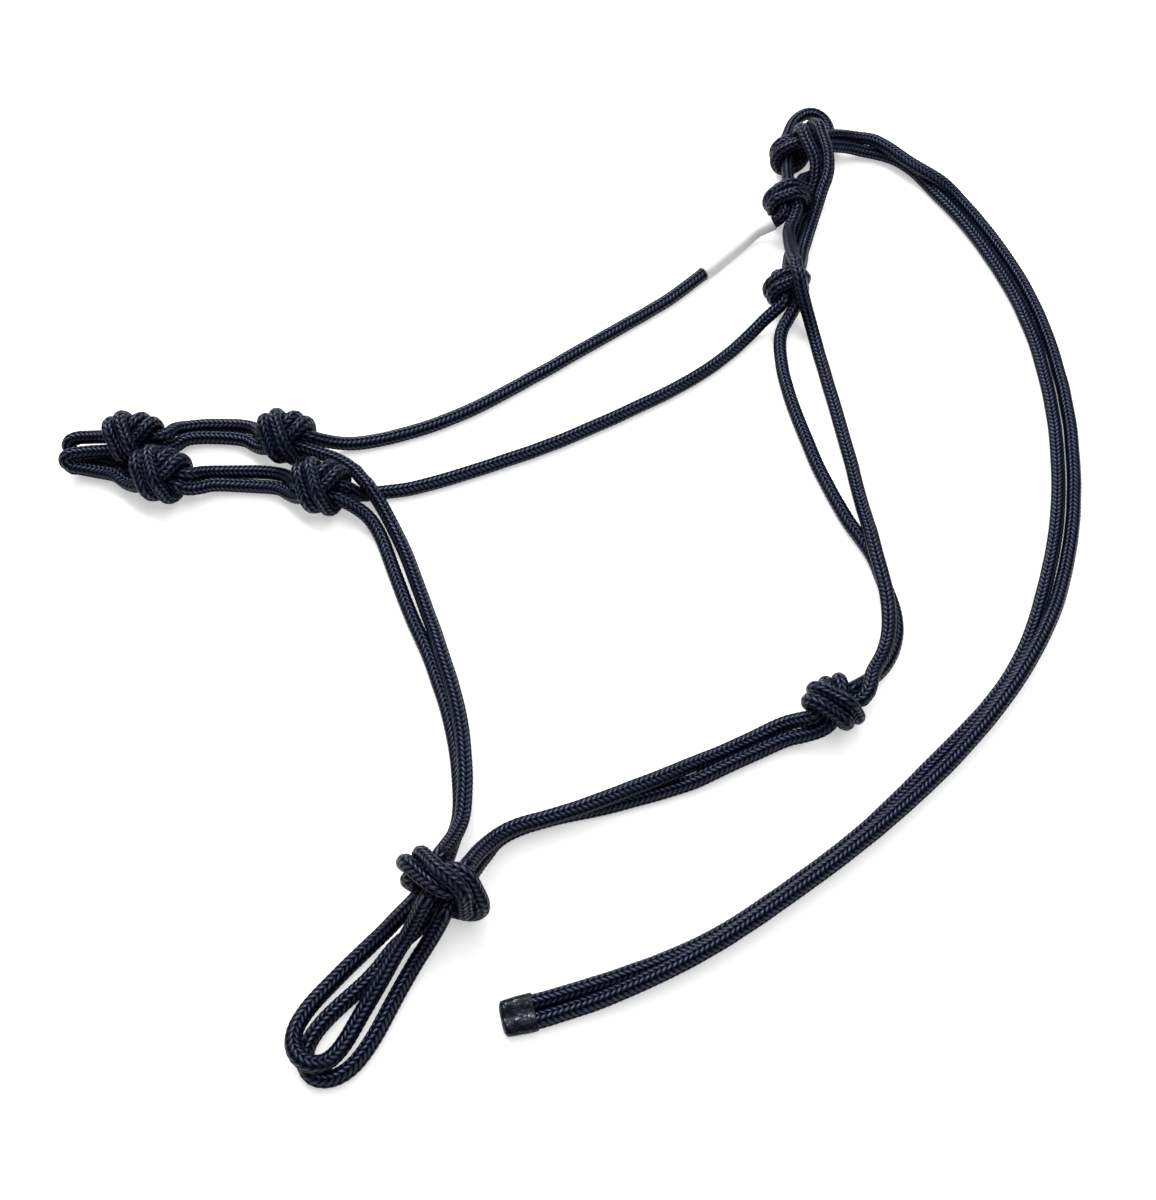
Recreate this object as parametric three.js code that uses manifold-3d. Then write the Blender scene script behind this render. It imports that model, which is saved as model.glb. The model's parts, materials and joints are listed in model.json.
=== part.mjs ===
// Rope halter, laid out on its side. Millimetres, +Z up, X to the right, Y away from the viewer.
// One long braided rope, nominally 6.35 mm thick, is knotted into a noseband, cheeks, throatlatch,
// tie loops, an eye and a crown tail. A label sleeve and an end sleeve are slid over it.
import * as THREE from "three";
import { mergeVertices } from "three/addons/utils/BufferGeometryUtils.js";
import Module from "manifold-3d";

// ---- driving dimensions ----
// radius: to the corners of the section; sides: of the section; facet: simplifying tolerance.
// Strands in a knot are thicker than a plain run, so that they press on each other.
const RUN = { radius: 3.0, sides: 6, facet: 0.05 };
const KNOT = { radius: 3.42, sides: 5, facet: 0.3 };
// Where a strand meets a hinge its radius falls to endShare over length. The ring that starts
// the taper is left out where less than minRest of the segment would remain beyond it.
const TAPER = { endShare: 0.62, length: 2.2, minRest: 1.2 };
const CLEARANCE = 0.2; // kept between separate rope pieces

const SLEEVE_SIDES = 8;
const SLEEVE_GAP = 0.3; // between either sleeve and the rope inside it
const LABEL_RADIUS = 3.95; // outside, to the corners
const END_RADIUS = 4.1; // end sleeve, round each of the two rope ends
const END_PINCH = 0.72; // radius share at the closed end of the end sleeve
const FOOT_Z = 0; // the end sleeve rests on this plane
const FOOT_CUT = { width: 120, height: 20 }; // block that flattens its underside

const WELD = { build: 1e-4, clean: 1e-3 }; // vertices closer than this become one
const SLIVER = 0.02; // final simplifying tolerance
const BOX_MARGIN = 0.5; // bounding boxes further apart than this are not compared
const MIN_OVERLAP = 1e-4; // overlap, in mm3, that calls for a cut

const COLORS = { rope: 0x1a2238, label: 0xf2f2ee, cap: 0x0b0b0d };
const ROUGHNESS = { rope: 0.8, label: 0.8, cap: 0.25 };

// ---- course of the rope ----
// Each piece lists its strands; a piece with several strands is a knot.
// points: centreline, [x, y, z]; taper: which ends meet a hinge (none if absent).
const ROPE = {
  crown_tail_c_outer: [{ taper: "end", points: [
    [-20.14, -230.53, 3.64], [-5.77, -226.88, 4.08], [11.57, -221.35, 5.64], [29.48, -214.13, 7.6],
    [45.23, -206.57, 8.66], [61.72, -197, 9.18], [83.3, -182.65, 9.28], [104.53, -167.6, 9.25],
    [123.63, -152.67, 8.92], [143.11, -135.8, 8.15], [157.83, -121.61, 8.38],
    [172.93, -105.23, 9.06], [184.17, -91.19, 9.21], [194.24, -76.44, 8.86], [202.19, -63.18, 7.66]
  ] }],
  crown_tail_b_outer: [{ taper: "both", points: [
    [203.34, -61.11, 7.37], [210.19, -47.13, 5.2], [215.27, -34.69, 3.91], [221.09, -17.14, 3.52],
    [225.69, 1.78, 3.44], [229.04, 20.93, 3.43], [231.62, 43.27, 3.45], [232.39, 65.74, 3.45],
    [231.26, 91.71, 3.46], [228.68, 112.46, 3.48], [224.83, 130.93, 3.49], [223.67, 135.36, 3.5]
  ] }],
  crown_tail_a_outer: [{ taper: "both", points: [
    [223.02, 137.68, 3.5], [216.91, 156.14, 3.52], [211.01, 170.64, 3.73], [203.27, 185.47, 4.64],
    [198.98, 191.68, 5.86], [193.57, 197.19, 8.08], [187.79, 201.75, 9.5], [178.37, 210, 9.87],
    [163.86, 225.09, 10.27], [158.94, 229.1, 9.77]
  ] }],
  crown_hitch_outer: [{ taper: "start", points: [
    [156.84, 230.21, 9.41], [151.84, 231.77, 9.02], [146.63, 232.22, 9.5], [141.2, 231.31, 10.75],
    [132.66, 228.11, 13.04], [126.59, 224.98, 14.71], [122.93, 221.84, 16.79],
    [119.45, 218.52, 17.61], [115.05, 216.41, 17.8], [110.27, 215.26, 15.95],
    [107.24, 214.79, 13.51], [105.96, 214.42, 10.65], [106.18, 214.04, 7.53],
    [107.77, 213.78, 5.08], [110.29, 213.7, 3.57], [114.46, 214.32, 3.38], [117.92, 216.17, 3.38],
    [120.91, 219.58, 3.38], [122.87, 224.05, 3.52], [123.25, 227.09, 4.24], [123.89, 231.34, 6.54],
    [124.75, 234.36, 9.83], [125.64, 235.6, 12.85], [126.39, 235.12, 15.01],
    [127.15, 232.69, 17.25], [128.17, 227.57, 20.35], [128.77, 224.5, 20.79],
    [130.94, 210.17, 19.8], [131.35, 202.79, 18.19], [130.67, 196.14, 16.03],
    [129.17, 191.47, 14.15], [125.77, 182.7, 10.44], [122.61, 173.39, 8.07],
    [118.97, 162.33, 7.04], [114.99, 149.4, 7.27], [113.82, 143.72, 8.62],
    [112.03, 135.85, 12.09], [111.41, 133.32, 13.51]
  ] }],
  off_crown_knot: [{ points: [
    [111.36, 133.07, 13.66], [109.56, 130.46, 14.54], [107.81, 125.59, 12.76],
    [106.01, 119.81, 9.45], [101.37, 116.38, 7.73], [97.59, 115.14, 9.7], [96.3, 115, 13.96],
    [98.33, 115.61, 17.51], [106.39, 117.87, 19.81], [109.88, 119.09, 17.35],
    [112.23, 121.64, 9.39], [110.09, 123.27, 6.28], [103.64, 125.79, 3.37], [99.62, 126.33, 5.18],
    [97.9, 125.22, 9.1], [99.16, 122.59, 11.93], [101.99, 112.87, 13.17], [100.74, 110.03, 12]
  ] }, { points: [
    [108.21, 111.82, 11.97], [107.42, 114.6, 14.14], [106.08, 116.94, 14.55],
    [103.07, 124.4, 14.67], [100.16, 128.78, 11.8], [100.7, 130.48, 7.73], [104.17, 130.48, 4.95],
    [108.11, 129.25, 5.35], [112.96, 126.03, 11.79], [111.92, 124.53, 15.85],
    [103.88, 122.93, 20.25], [99.64, 121.57, 18.49], [95.34, 119.96, 14.62],
    [95.41, 119.68, 10.18], [98.6, 120.53, 7.1], [102.19, 122.58, 7.43], [105.42, 130.38, 10.44],
    [106.16, 135.01, 9.52]
  ] }],
  cheek_off: [{ points: [
    [100.56, 109.84, 11.84], [94.13, 105.74, 7.58], [89.41, 101.8, 5.38], [83.49, 95.54, 3.89],
    [72.62, 84.31, 3.38], [61.71, 74.69, 3.38], [48.09, 64.83, 3.38], [27.41, 52.3, 3.38],
    [4.71, 39.63, 3.38], [-13.9, 30.1, 3.38], [-37.8, 19.89, 3.39], [-62.03, 10.44, 3.38],
    [-75.93, 6.19, 3.38], [-93.77, 3.29, 3.42], [-96.63, 2.25, 4.45], [-98.89, 1.67, 6.76],
    [-101.62, 1.37, 10.41]
  ] }],
  side_knot_off: [{ taper: "end", points: [
    [-101.86, 1.39, 10.59], [-105.38, 2.07, 11.92], [-113.35, 6.76, 12.19], [-115.77, 9.31, 14.92],
    [-117.25, 8.77, 19.43], [-117.47, 5.08, 22.49], [-116.4, 0.4, 22.21], [-114.07, -6.18, 19.42],
    [-112.45, -7.83, 14.79], [-110.56, -7.94, 8.08], [-108.58, -4.73, 5.13], [-104.99, 5.31, 6.58],
    [-104.23, 7.95, 10.5], [-104.96, 7.29, 15.19], [-107.07, 3.88, 17.66], [-110.64, -0.13, 16.46],
    [-115.59, -2.32, 14.36], [-121.72, -3.23, 10.66], [-122.98, -2.61, 9.51]
  ] }, { taper: "both", points: [
    [-124.55, 2.27, 13.39], [-121.04, 1.59, 15.47], [-113.41, 4.78, 18.03], [-110.76, 8.29, 17.4],
    [-109.24, 10.63, 13.51], [-109.25, 9.65, 8.82], [-111.15, 3.65, 4.77], [-112.65, -0.72, 3.4],
    [-114.67, -4.44, 5.64], [-117.48, -8.7, 11.91], [-119.19, -7.75, 15.92],
    [-122.19, 0.23, 21.24], [-122.6, 4.9, 20.25], [-121.84, 7.56, 16.33], [-119.95, 6.65, 12.03],
    [-115.49, 1.63, 9.19], [-106.56, -3.84, 11.15], [-103.29, -5.06, 10.23]
  ] }],
  noseband_off_lower: [{ taper: "start", points: [
    [-124.74, -1.65, 8.19], [-129.24, 1.73, 5.91], [-133.58, 5.14, 4.71], [-138.59, 6.59, 4.13],
    [-148.65, 7.57, 3.79], [-158.03, 7.65, 4.47], [-165, 6.79, 5.81], [-171.38, 3.83, 7.54],
    [-174.7, 2.45, 9.16]
  ] }],
  nose_knot_off: [{ points: [
    [-174.95, 2.38, 9.31], [-179.08, 2.41, 11.58], [-188.05, 7.92, 9.61], [-192.35, 12.76, 12.26],
    [-194.19, 13.91, 16.15], [-195.09, 11.66, 20.29], [-194.83, 7.1, 21.72],
    [-193.15, 2.01, 19.01], [-191.19, -2.16, 15.15], [-189.51, -2, 11.02], [-186.1, 3.66, 4.38],
    [-184.33, 7.74, 4.05], [-181.9, 15.52, 8.67], [-181.67, 16.97, 13.24], [-182.88, 15.2, 17.27],
    [-185.41, 11.6, 18.59], [-189.31, 9.5, 17.04], [-194.66, 7.77, 15.41], [-197.71, 9.31, 12.48]
  ] }, { points: [
    [-196.85, 3.35, 9.87], [-192.38, 3.17, 12.37], [-184.3, 5.28, 16.43], [-179.88, 9.7, 18.12],
    [-177.63, 13.32, 15.95], [-176.76, 14.3, 11.35], [-177.41, 11.92, 7.23], [-180.11, 3.88, 5.41],
    [-181.96, -0.07, 6.35], [-183.69, -2.07, 10.33], [-186.29, -0.48, 19.15],
    [-187.95, 3.77, 21.61], [-189.88, 10.29, 23.14], [-189.94, 14.43, 20.72],
    [-188.75, 15.77, 16.34], [-186.62, 13.91, 13.02], [-183.23, 11.05, 12.66],
    [-177.96, 8.32, 12.31], [-174.11, 8.36, 11.64]
  ] }],
  noseband_front_upper: [{ points: [
    [-197.82, 9.5, 12.27], [-200.94, 13.02, 7.06], [-203.79, 14.39, 4.26], [-206.31, 16.15, 3.56],
    [-209.47, 18.92, 3.95], [-215.18, 21.01, 3.92], [-223.72, 22.78, 4.53], [-229.1, 23.78, 5.92],
    [-231.52, 24.72, 7.69], [-232.35, 25.94, 9.34], [-231.55, 27.38, 10.68],
    [-228.96, 28.59, 11.48], [-223.84, 29.08, 11.83], [-218.64, 28.61, 12.64],
    [-214.02, 27.7, 13.92]
  ] }],
  nose_knot_near: [{ points: [
    [-213.74, 27.64, 14.01], [-208.47, 27.23, 15.77], [-201.67, 30.63, 18.42],
    [-199.3, 34.39, 18.11], [-197.98, 37.17, 14.45], [-197.91, 36.61, 9.69],
    [-199.32, 30.84, 5.13], [-200.46, 26.5, 3.38], [-202.17, 22.45, 5.27], [-204.63, 17.45, 11.13],
    [-206.41, 17.91, 15.2], [-210.04, 25.13, 21.17], [-210.83, 29.83, 20.59],
    [-210.29, 32.87, 16.92], [-208.34, 32.5, 12.57], [-203.67, 28.23, 9.4],
    [-197.74, 24.72, 10.24], [-193.37, 23.11, 10.85], [-190.34, 23.72, 8.83]
  ] }, { points: [
    [-189.8, 29.53, 11.86], [-193.92, 29.21, 12.09], [-202.09, 33.43, 12.93],
    [-204.58, 35.27, 16.12], [-205.87, 33.88, 20.51], [-205.65, 29.76, 22.95],
    [-203.82, 24.64, 21.72], [-201.35, 19.46, 18.7], [-199.52, 18.48, 13.53],
    [-197.76, 19.15, 7.34], [-196.04, 22.8, 4.77], [-193.44, 32.3, 6.75], [-192.77, 35.05, 10.63],
    [-193.28, 34.39, 15.34], [-194.87, 31.08, 17.88], [-197.43, 27.06, 17.05],
    [-202.03, 24.15, 14.8], [-208.5, 22.46, 11.31], [-212.53, 22.11, 10.57]
  ] }],
  noseband_near_lower: [{ taper: "end", points: [
    [-190.15, 23.84, 8.63], [-186.93, 26.75, 6.42], [-183.85, 29.93, 5.41], [-180.88, 32.48, 5.33],
    [-176.29, 34.05, 4.75], [-168.22, 34.76, 4.06], [-159.5, 34.23, 4.1], [-153.65, 32.81, 4.5],
    [-150.39, 30.87, 5.05], [-145.5, 26.95, 6.85], [-143.32, 25.59, 8.07]
  ] }],
  side_knot_near: [{ taper: "start", points: [
    [-141.48, 24.65, 9.31], [-138.32, 24.25, 11.83], [-130.27, 26.36, 15.98],
    [-125.93, 30.78, 17.88], [-123.72, 34.55, 15.92], [-122.84, 35.78, 11.38],
    [-123.41, 33.6, 7.15], [-125.58, 26.71, 5.18], [-127.36, 22.24, 5.3], [-129.18, 19.45, 8.75],
    [-132.01, 20.4, 18.32], [-133.65, 24.1, 20.91], [-135.89, 30.98, 22.9],
    [-136.05, 35.23, 20.67], [-134.89, 36.8, 16.37], [-132.73, 35.16, 12.96],
    [-129.31, 32.37, 12.47], [-123.99, 29.77, 12.03], [-120.32, 29.45, 10.87]
  ] }, { taper: "both", points: [
    [-121.05, 22.83, 10.23], [-127.2, 24.74, 10.89], [-133.31, 28.75, 9.18],
    [-138.22, 33.68, 11.88], [-140.16, 34.88, 15.71], [-141.11, 32.68, 19.86],
    [-140.85, 28.14, 21.36], [-139.49, 24.01, 19.31], [-136.96, 18.91, 14.46],
    [-135.27, 19.21, 10.34], [-131.97, 25.18, 3.91], [-130.27, 29.3, 3.71], [-128.01, 36.96, 8.62],
    [-127.8, 38.27, 13.23], [-128.97, 36.35, 17.2], [-131.36, 32.72, 18.43], [-135, 30.6, 16.84],
    [-140.71, 28.73, 15.05], [-142.83, 29.35, 13.49]
  ] }],
  cheek_near: [{ points: [
    [-120.08, 29.5, 10.7], [-112.59, 30.43, 6.29], [-105.89, 31.13, 4.27], [-97.31, 32.56, 3.42],
    [-83.25, 36.26, 3.38], [-69.63, 41.37, 3.38], [-55.54, 48.16, 3.38], [-41.16, 56.87, 3.38],
    [-19.88, 71.81, 3.38], [1.07, 87.2, 3.41], [22.03, 102.59, 3.38], [42.82, 118.2, 3.38],
    [54.61, 128.48, 3.66], [71.96, 145.32, 4], [85.53, 159.24, 4.47], [91.35, 164.53, 5.62],
    [95.36, 166.72, 6.79], [100.15, 167.9, 8.79], [104.24, 168.7, 11.75], [105.58, 169.87, 13.08]
  ] }],
  near_eye_knot: [{ points: [
    [105.72, 170.07, 13.23], [106.44, 173.56, 14.48], [103.69, 182.4, 12.97],
    [102.26, 185.05, 10.06], [103.57, 186.24, 5.96], [107.61, 185.77, 3.45], [111.99, 184.09, 4.52],
    [117.47, 181.56, 8], [118.01, 179.83, 12.07], [114.93, 177.7, 19.91], [110.89, 176.62, 21.44],
    [102.24, 174.75, 18.47], [100.44, 174.36, 14.41], [102.18, 174.62, 9.95], [106.1, 175.79, 8.2],
    [111.84, 179.78, 10.27], [114.27, 187.85, 14.88], [116.57, 191.74, 14.14],
    [116.94, 193.15, 13.36]
  ] }, { points: [
    [110.98, 194.07, 10.68], [110.59, 189.26, 10.72], [106.77, 182.1, 7.81], [103.07, 180.27, 7.52],
    [99.75, 179.46, 10.38], [99.26, 179.55, 15.15], [102.35, 180.45, 18.7], [108.32, 182.09, 21.94],
    [113.16, 182.98, 20.38], [118.4, 183.8, 16.63], [119.22, 185.26, 12.49], [113.89, 188.8, 5.69],
    [109.76, 190.31, 4.93], [105.82, 190.68, 7.62], [104.75, 189.37, 11.74],
    [106.66, 186.66, 14.74], [109.31, 181.49, 16.16], [112.76, 171.91, 15.23],
    [112.48, 170.37, 14.81]
  ] }],
  eye_loop: [{ points: [
    [117.03, 193.4, 13.24], [119.09, 198.44, 10.55], [124.76, 204.35, 7.47], [128.71, 209.44, 6.36],
    [132.43, 216.65, 5.83], [134.97, 224.35, 5.32], [136.7, 232.29, 5.68], [137.11, 238.76, 6.56],
    [136.22, 243.44, 7.62], [134.42, 246.41, 8.71], [131.52, 248.36, 9.74], [127.99, 249.06, 10.35],
    [124.4, 248.4, 10.4], [120.83, 246.19, 10.09], [117.51, 242.14, 9.7], [114.84, 236.17, 9.46],
    [112.05, 228.56, 9.41], [111.85, 224.63, 9.48], [112.49, 221.32, 9.11], [112.08, 212.62, 9.72],
    [111.54, 208.04, 9.74], [110.99, 194.37, 10.66]
  ] }],
  throat_upper_near: [{ taper: "end", points: [
    [112.39, 170.09, 14.73], [110.03, 164.17, 13.3], [108.27, 159.63, 12.98],
    [107.43, 154.13, 13.95], [106.68, 142.29, 18.13], [106.49, 127.94, 24.33],
    [106.73, 124.44, 26.1], [106.96, 118.37, 26.08], [107.53, 115.55, 25.58],
    [108.2, 113.33, 23.81], [112.45, 104.76, 12.85], [114.46, 100.13, 8.68], [116.06, 95, 5.86],
    [117.13, 89.61, 4.54], [120.07, 70.41, 3.62], [123.64, 44.66, 3.49], [126.78, 18.85, 3.84],
    [128.01, 3.29, 4.78], [129.77, -18.76, 8.74], [130.33, -25.71, 9.66], [132.57, -46.5, 9.92],
    [133.19, -57.81, 9.67], [132.34, -68.22, 9.45], [132.07, -69.83, 9.44]
  ] }],
  throat_bend_near: [{ taper: "start", points: [
    [131.58, -72.18, 9.45], [129.07, -79.91, 9.74], [125.18, -87.01, 10.45],
    [122.17, -92.34, 11.62], [119.72, -99.74, 12.71], [118.72, -101.35, 12.71]
  ] }],
  throat_knot: [{ points: [
    [118.52, -101.57, 12.69], [115.62, -104.02, 12.19], [110.63, -106, 10.78],
    [104.19, -107.4, 8.59], [97.4, -106.2, 9.64], [94.54, -105.71, 13.44], [94.87, -107.02, 18.04],
    [97.71, -109.53, 20.41], [106.11, -114.46, 18.04], [108.76, -114.96, 14.47],
    [109.56, -110.67, 5.42], [108.58, -106.81, 3.39], [104.66, -98.45, 4.93],
    [103.02, -96.07, 8.75], [102.37, -97.21, 13.36], [102.38, -101, 15.63],
    [99.94, -107.57, 14.95], [96.93, -111.6, 13.58], [95.09, -112.05, 12.26]
  ] }, { points: [
    [100.3, -115.59, 9.81], [103.12, -113.31, 12.85], [107.52, -104.81, 15.72],
    [107.84, -98.35, 15.59], [107.82, -95.05, 12.13], [108.88, -95.24, 7.46],
    [110.73, -98.62, 4.61], [114.32, -107.79, 6.52], [114.34, -110.77, 10.26],
    [112.01, -110.47, 15.77], [108.57, -109.18, 20.51], [101.59, -105.19, 21.1],
    [98.1, -102.77, 19.72], [96.72, -100.97, 15.5], [98.47, -100.88, 11.24],
    [102.27, -101.7, 9.55], [111.66, -99.55, 10.73], [114.87, -97.22, 9.35]
  ] }],
  throat_lower_upper_rope: [{ points: [
    [94.85, -112.05, 12.08], [88.47, -111.74, 8.03], [83.34, -112.63, 5.85],
    [76.98, -115.17, 4.28], [67.21, -119.9, 3.55], [55.02, -125.71, 4.24], [33.68, -136.32, 8.24],
    [11.5, -145.82, 9.68], [-3.18, -151.23, 9.74], [-18.11, -155.87, 10.11],
    [-25.07, -158.71, 10.84], [-30.22, -162.23, 11.88], [-33.12, -165.19, 13.36],
    [-36.54, -170.4, 17.51], [-38.87, -175.17, 21.93]
  ] }],
  fiador_knot: [{ taper: "end", points: [
    [-38.96, -175.38, 22.13], [-40.61, -179.16, 25.18], [-43.26, -184.58, 25.56],
    [-45.78, -188.13, 28.4], [-49.39, -188.24, 31.03], [-53.81, -185.61, 31.53],
    [-60.62, -179.39, 29.88], [-62.97, -176.8, 25.54], [-63.23, -175.49, 19.2],
    [-58.99, -175.15, 13.04], [-54.48, -175.73, 8.43], [-50.45, -178.15, 7.78],
    [-48.27, -181.83, 9.85], [-49.48, -186.61, 13.41], [-52.77, -192.43, 13.26],
    [-54.71, -193.62, 11.31]
  ] }, { taper: "start", points: [
    [-49.42, -196.58, 17.95], [-47.65, -194.09, 20.63], [-44.29, -188.46, 20.49],
    [-38.89, -186.32, 18.99], [-36.48, -185.6, 15.3], [-37.43, -185.04, 10.63],
    [-47.71, -183.64, 3.66], [-54.28, -181.42, 4.07], [-58.88, -180.13, 6.98],
    [-61.18, -180.98, 13.5], [-61.79, -181.65, 20.4], [-58.77, -181.6, 24.07],
    [-54.02, -179.28, 24.99], [-50.64, -174.69, 24.71], [-49.5, -172.29, 23.8],
    [-48.59, -170.05, 21.69]
  ] }, { taper: "end", points: [
    [-48.75, -169.38, 11.58], [-49.95, -174.25, 13.99], [-53.09, -179.38, 13.35],
    [-54.62, -183.44, 10.5], [-52.66, -186.49, 7.89], [-48.01, -188.72, 7.46],
    [-39.09, -191, 9.15], [-35.7, -191.54, 13.54], [-34.5, -191.01, 19.89],
    [-36.78, -186.94, 26.46], [-39.66, -183.74, 30.65], [-44.14, -181.68, 31.08],
    [-48.18, -182.08, 28.99], [-51.33, -185.6, 25.56], [-54.57, -191.63, 25.33],
    [-55.58, -192.9, 23.57]
  ] }, { taper: "start", points: [
    [-61.17, -190.23, 16.11], [-58.57, -188.31, 18.59], [-55.71, -181.89, 18.51],
    [-56.87, -176.62, 19.96], [-57.59, -174.19, 23.63], [-56.62, -174.64, 28.31],
    [-49.84, -182.47, 35.3], [-44.38, -186.77, 34.92], [-40.62, -190.13, 31.69],
    [-40.12, -193.27, 21.35], [-41.03, -192.56, 16.86], [-42.41, -188.99, 14.21],
    [-42.32, -183.02, 14.28], [-39.64, -178.06, 13.98], [-38.36, -175.17, 11.84]
  ] }],
  tie_loop_lower: [{ taper: "both", points: [
    [-56.31, -194.65, 9.87], [-61.02, -197.8, 6.61], [-66.04, -201.58, 4.79],
    [-70.73, -207.4, 3.72], [-76.24, -214.19, 3.38], [-90.96, -229.03, 3.72],
    [-95.01, -234.77, 3.81], [-96.79, -239.32, 3.67], [-96.93, -243.23, 3.39],
    [-95.59, -246.34, 3.38], [-92.8, -248.68, 3.38], [-89.21, -249.36, 3.38],
    [-85.35, -248.67, 3.38], [-81.4, -246.43, 3.38], [-77.24, -241.99, 3.38],
    [-72.28, -234.01, 3.38], [-64.89, -218.91, 3.89], [-60.76, -211.31, 5.18],
    [-57.65, -206.56, 7.08], [-54.13, -202.32, 10.65], [-50.43, -197.86, 16.2]
  ] }],
  chin_near: [{ taper: "end", points: [
    [-48.51, -169.83, 21.5], [-45.84, -162.22, 15.39], [-44.33, -156.72, 12.2],
    [-43.66, -151.29, 10.78], [-43.62, -137.83, 9.54], [-45.42, -119.85, 8.84],
    [-48.46, -104.52, 8.2], [-53.34, -88.44, 7.58], [-57.67, -75.64, 6.89], [-62.32, -62.12, 4.3],
    [-69.6, -42.53, 3.57], [-76.3, -25.74, 3.66], [-82.23, -13.6, 4.41], [-86.42, -6.11, 6.06],
    [-92.75, 3.01, 9.73], [-95.7, 6.87, 9.31], [-100.35, 12.79, 8.65], [-108.04, 18.25, 8.83],
    [-114.43, 20.91, 9.1], [-118.78, 22.22, 9.75]
  ] }],
  noseband_near_upper: [{ taper: "start", points: [
    [-143.98, 30.73, 11.9], [-146.51, 35.18, 7.84], [-149.85, 38.93, 5.26], [-153, 40.58, 4.5],
    [-158.96, 41.68, 4.02], [-168.37, 41.8, 4], [-175.83, 40.87, 4.73], [-181.79, 39.02, 6.03],
    [-184.79, 37.23, 7.46], [-186.4, 34.31, 9.55], [-187.57, 31.37, 10.98], [-189.53, 29.66, 11.79]
  ] }],
  noseband_front_lower: [{ points: [
    [-212.83, 22.12, 10.55], [-220.38, 21.77, 10.49], [-228.89, 19.98, 11.24],
    [-231.62, 18.52, 10.6], [-231.81, 17.07, 9.29], [-229.03, 15.59, 6.94], [-224.56, 15.38, 6.2],
    [-217.14, 13.94, 5.84], [-210.18, 11.89, 6.66], [-206.43, 9.29, 7.58], [-201.8, 5.69, 8.22],
    [-197.11, 3.41, 9.73]
  ] }],
  noseband_off_upper: [{ taper: "end", points: [
    [-173.84, 8.45, 11.53], [-167.45, 12.61, 7.28], [-162.72, 14.06, 5.53], [-155.33, 15.02, 4.24],
    [-145.93, 15.18, 3.92], [-137.86, 14.27, 4.32], [-133.47, 12.77, 5.03], [-129.8, 9.88, 6.96],
    [-127.19, 6.54, 9.57], [-125.73, 3.72, 11.9]
  ] }],
  chin_off: [{ taper: "start", points: [
    [-101.17, -5.91, 9.48], [-94.83, -9.29, 7.14], [-90.87, -13.02, 5.63], [-87.42, -18.45, 4.46],
    [-83.06, -28.38, 3.69], [-73.64, -52.61, 3.42], [-66.37, -69.17, 3.39], [-60.18, -83.53, 3.38],
    [-52.74, -104.75, 3.39], [-48.6, -121.05, 3.4], [-46.08, -138.95, 3.69],
    [-45.51, -149.78, 4.42], [-46.2, -156.17, 5.7], [-47.96, -165.3, 9.43], [-48.7, -169.12, 11.44]
  ] }],
  tie_loop_upper: [{ taper: "both", points: [
    [-56.61, -194.22, 21.86], [-61.36, -200.07, 14.02], [-64.16, -203.52, 11.21],
    [-67.45, -208.81, 9.26], [-76.84, -225.43, 5.56], [-81.12, -233.79, 5.07],
    [-84.85, -240.31, 5.89], [-87.84, -243.56, 6.98], [-90.65, -245.01, 8.2],
    [-93.82, -245.2, 9.38], [-96.71, -244, 9.76], [-99.13, -241.63, 9.57], [-100.58, -238.33, 9.02],
    [-100.68, -234.17, 8.27], [-99.03, -228.9, 7.07], [-95.25, -222.55, 5.49],
    [-88.92, -214.77, 4.17], [-82.04, -207.36, 4.09], [-75.81, -201.33, 5.25],
    [-70.78, -197.02, 7.39], [-66.16, -193.54, 11.1], [-62.69, -191.21, 14.53]
  ] }],
  throat_lower_lower_rope: [{ points: [
    [-38.25, -174.94, 11.68], [-34.89, -168.02, 7.52], [-31.99, -163.04, 5.58],
    [-28.27, -159.44, 4.71], [-22.21, -155.94, 4.08], [-11.95, -152.36, 3.59],
    [2.18, -148.93, 3.38], [19.74, -144.61, 3.38], [42.9, -137.68, 3.46], [52.29, -134.04, 4.41],
    [66.37, -127.25, 4.68], [80.51, -120.56, 4.79], [87.63, -118.03, 5.57], [94.36, -116.92, 7.03],
    [100.07, -115.68, 9.65]
  ] }],
  throat_bend_off: [{ taper: "end", points: [
    [115.04, -97.05, 9.16], [119.07, -93.7, 6.11], [123.74, -90.15, 4.51], [128.84, -85.11, 3.9],
    [132.85, -78.97, 3.74], [135.7, -71.89, 3.74], [136.34, -69.4, 3.75]
  ] }],
  throat_upper_off: [{ taper: "start", points: [
    [136.77, -67.04, 3.76], [137.05, -60.02, 3.74], [135.58, -50.01, 3.56], [131.68, -32.35, 3.52],
    [128.87, -24.72, 3.38], [121.33, -9.69, 3.38], [113.03, 13.02, 3.38], [108.25, 30.45, 3.38],
    [102.77, 54, 3.38], [99.95, 71.86, 3.38], [99.22, 85.37, 3.57], [99.67, 94.07, 4.34],
    [100.91, 99.11, 5.46], [103.8, 104.15, 7.5], [107.81, 110.54, 11.11], [108.17, 111.58, 11.8]
  ] }],
  crown_hitch_inner: [{ taper: "end", points: [
    [106.21, 135.29, 9.43], [109.09, 149.92, 4.71], [111.7, 157.55, 3.67], [117.4, 174.7, 3.52],
    [118.77, 177.05, 3.51], [121.07, 179.22, 3.37], [121.83, 181.9, 3.35], [121.58, 184.38, 3.71],
    [121.64, 186.59, 4.93], [122.37, 188.9, 6.16], [124.53, 196.08, 12.94], [124.82, 201.91, 17.75],
    [123.51, 206.27, 20.38], [120.78, 212.91, 22.73], [119.3, 218.21, 23.99],
    [118.59, 221.68, 23.13], [118.36, 224.73, 20.67], [118.26, 227.33, 17.35],
    [118.11, 228.11, 13.79], [118.27, 227.65, 10.69], [117.99, 226.4, 7.81],
    [116.22, 224.09, 4.32], [114.91, 222.14, 3.42], [112.69, 220.57, 3.38], [109.54, 220.26, 3.62],
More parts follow.
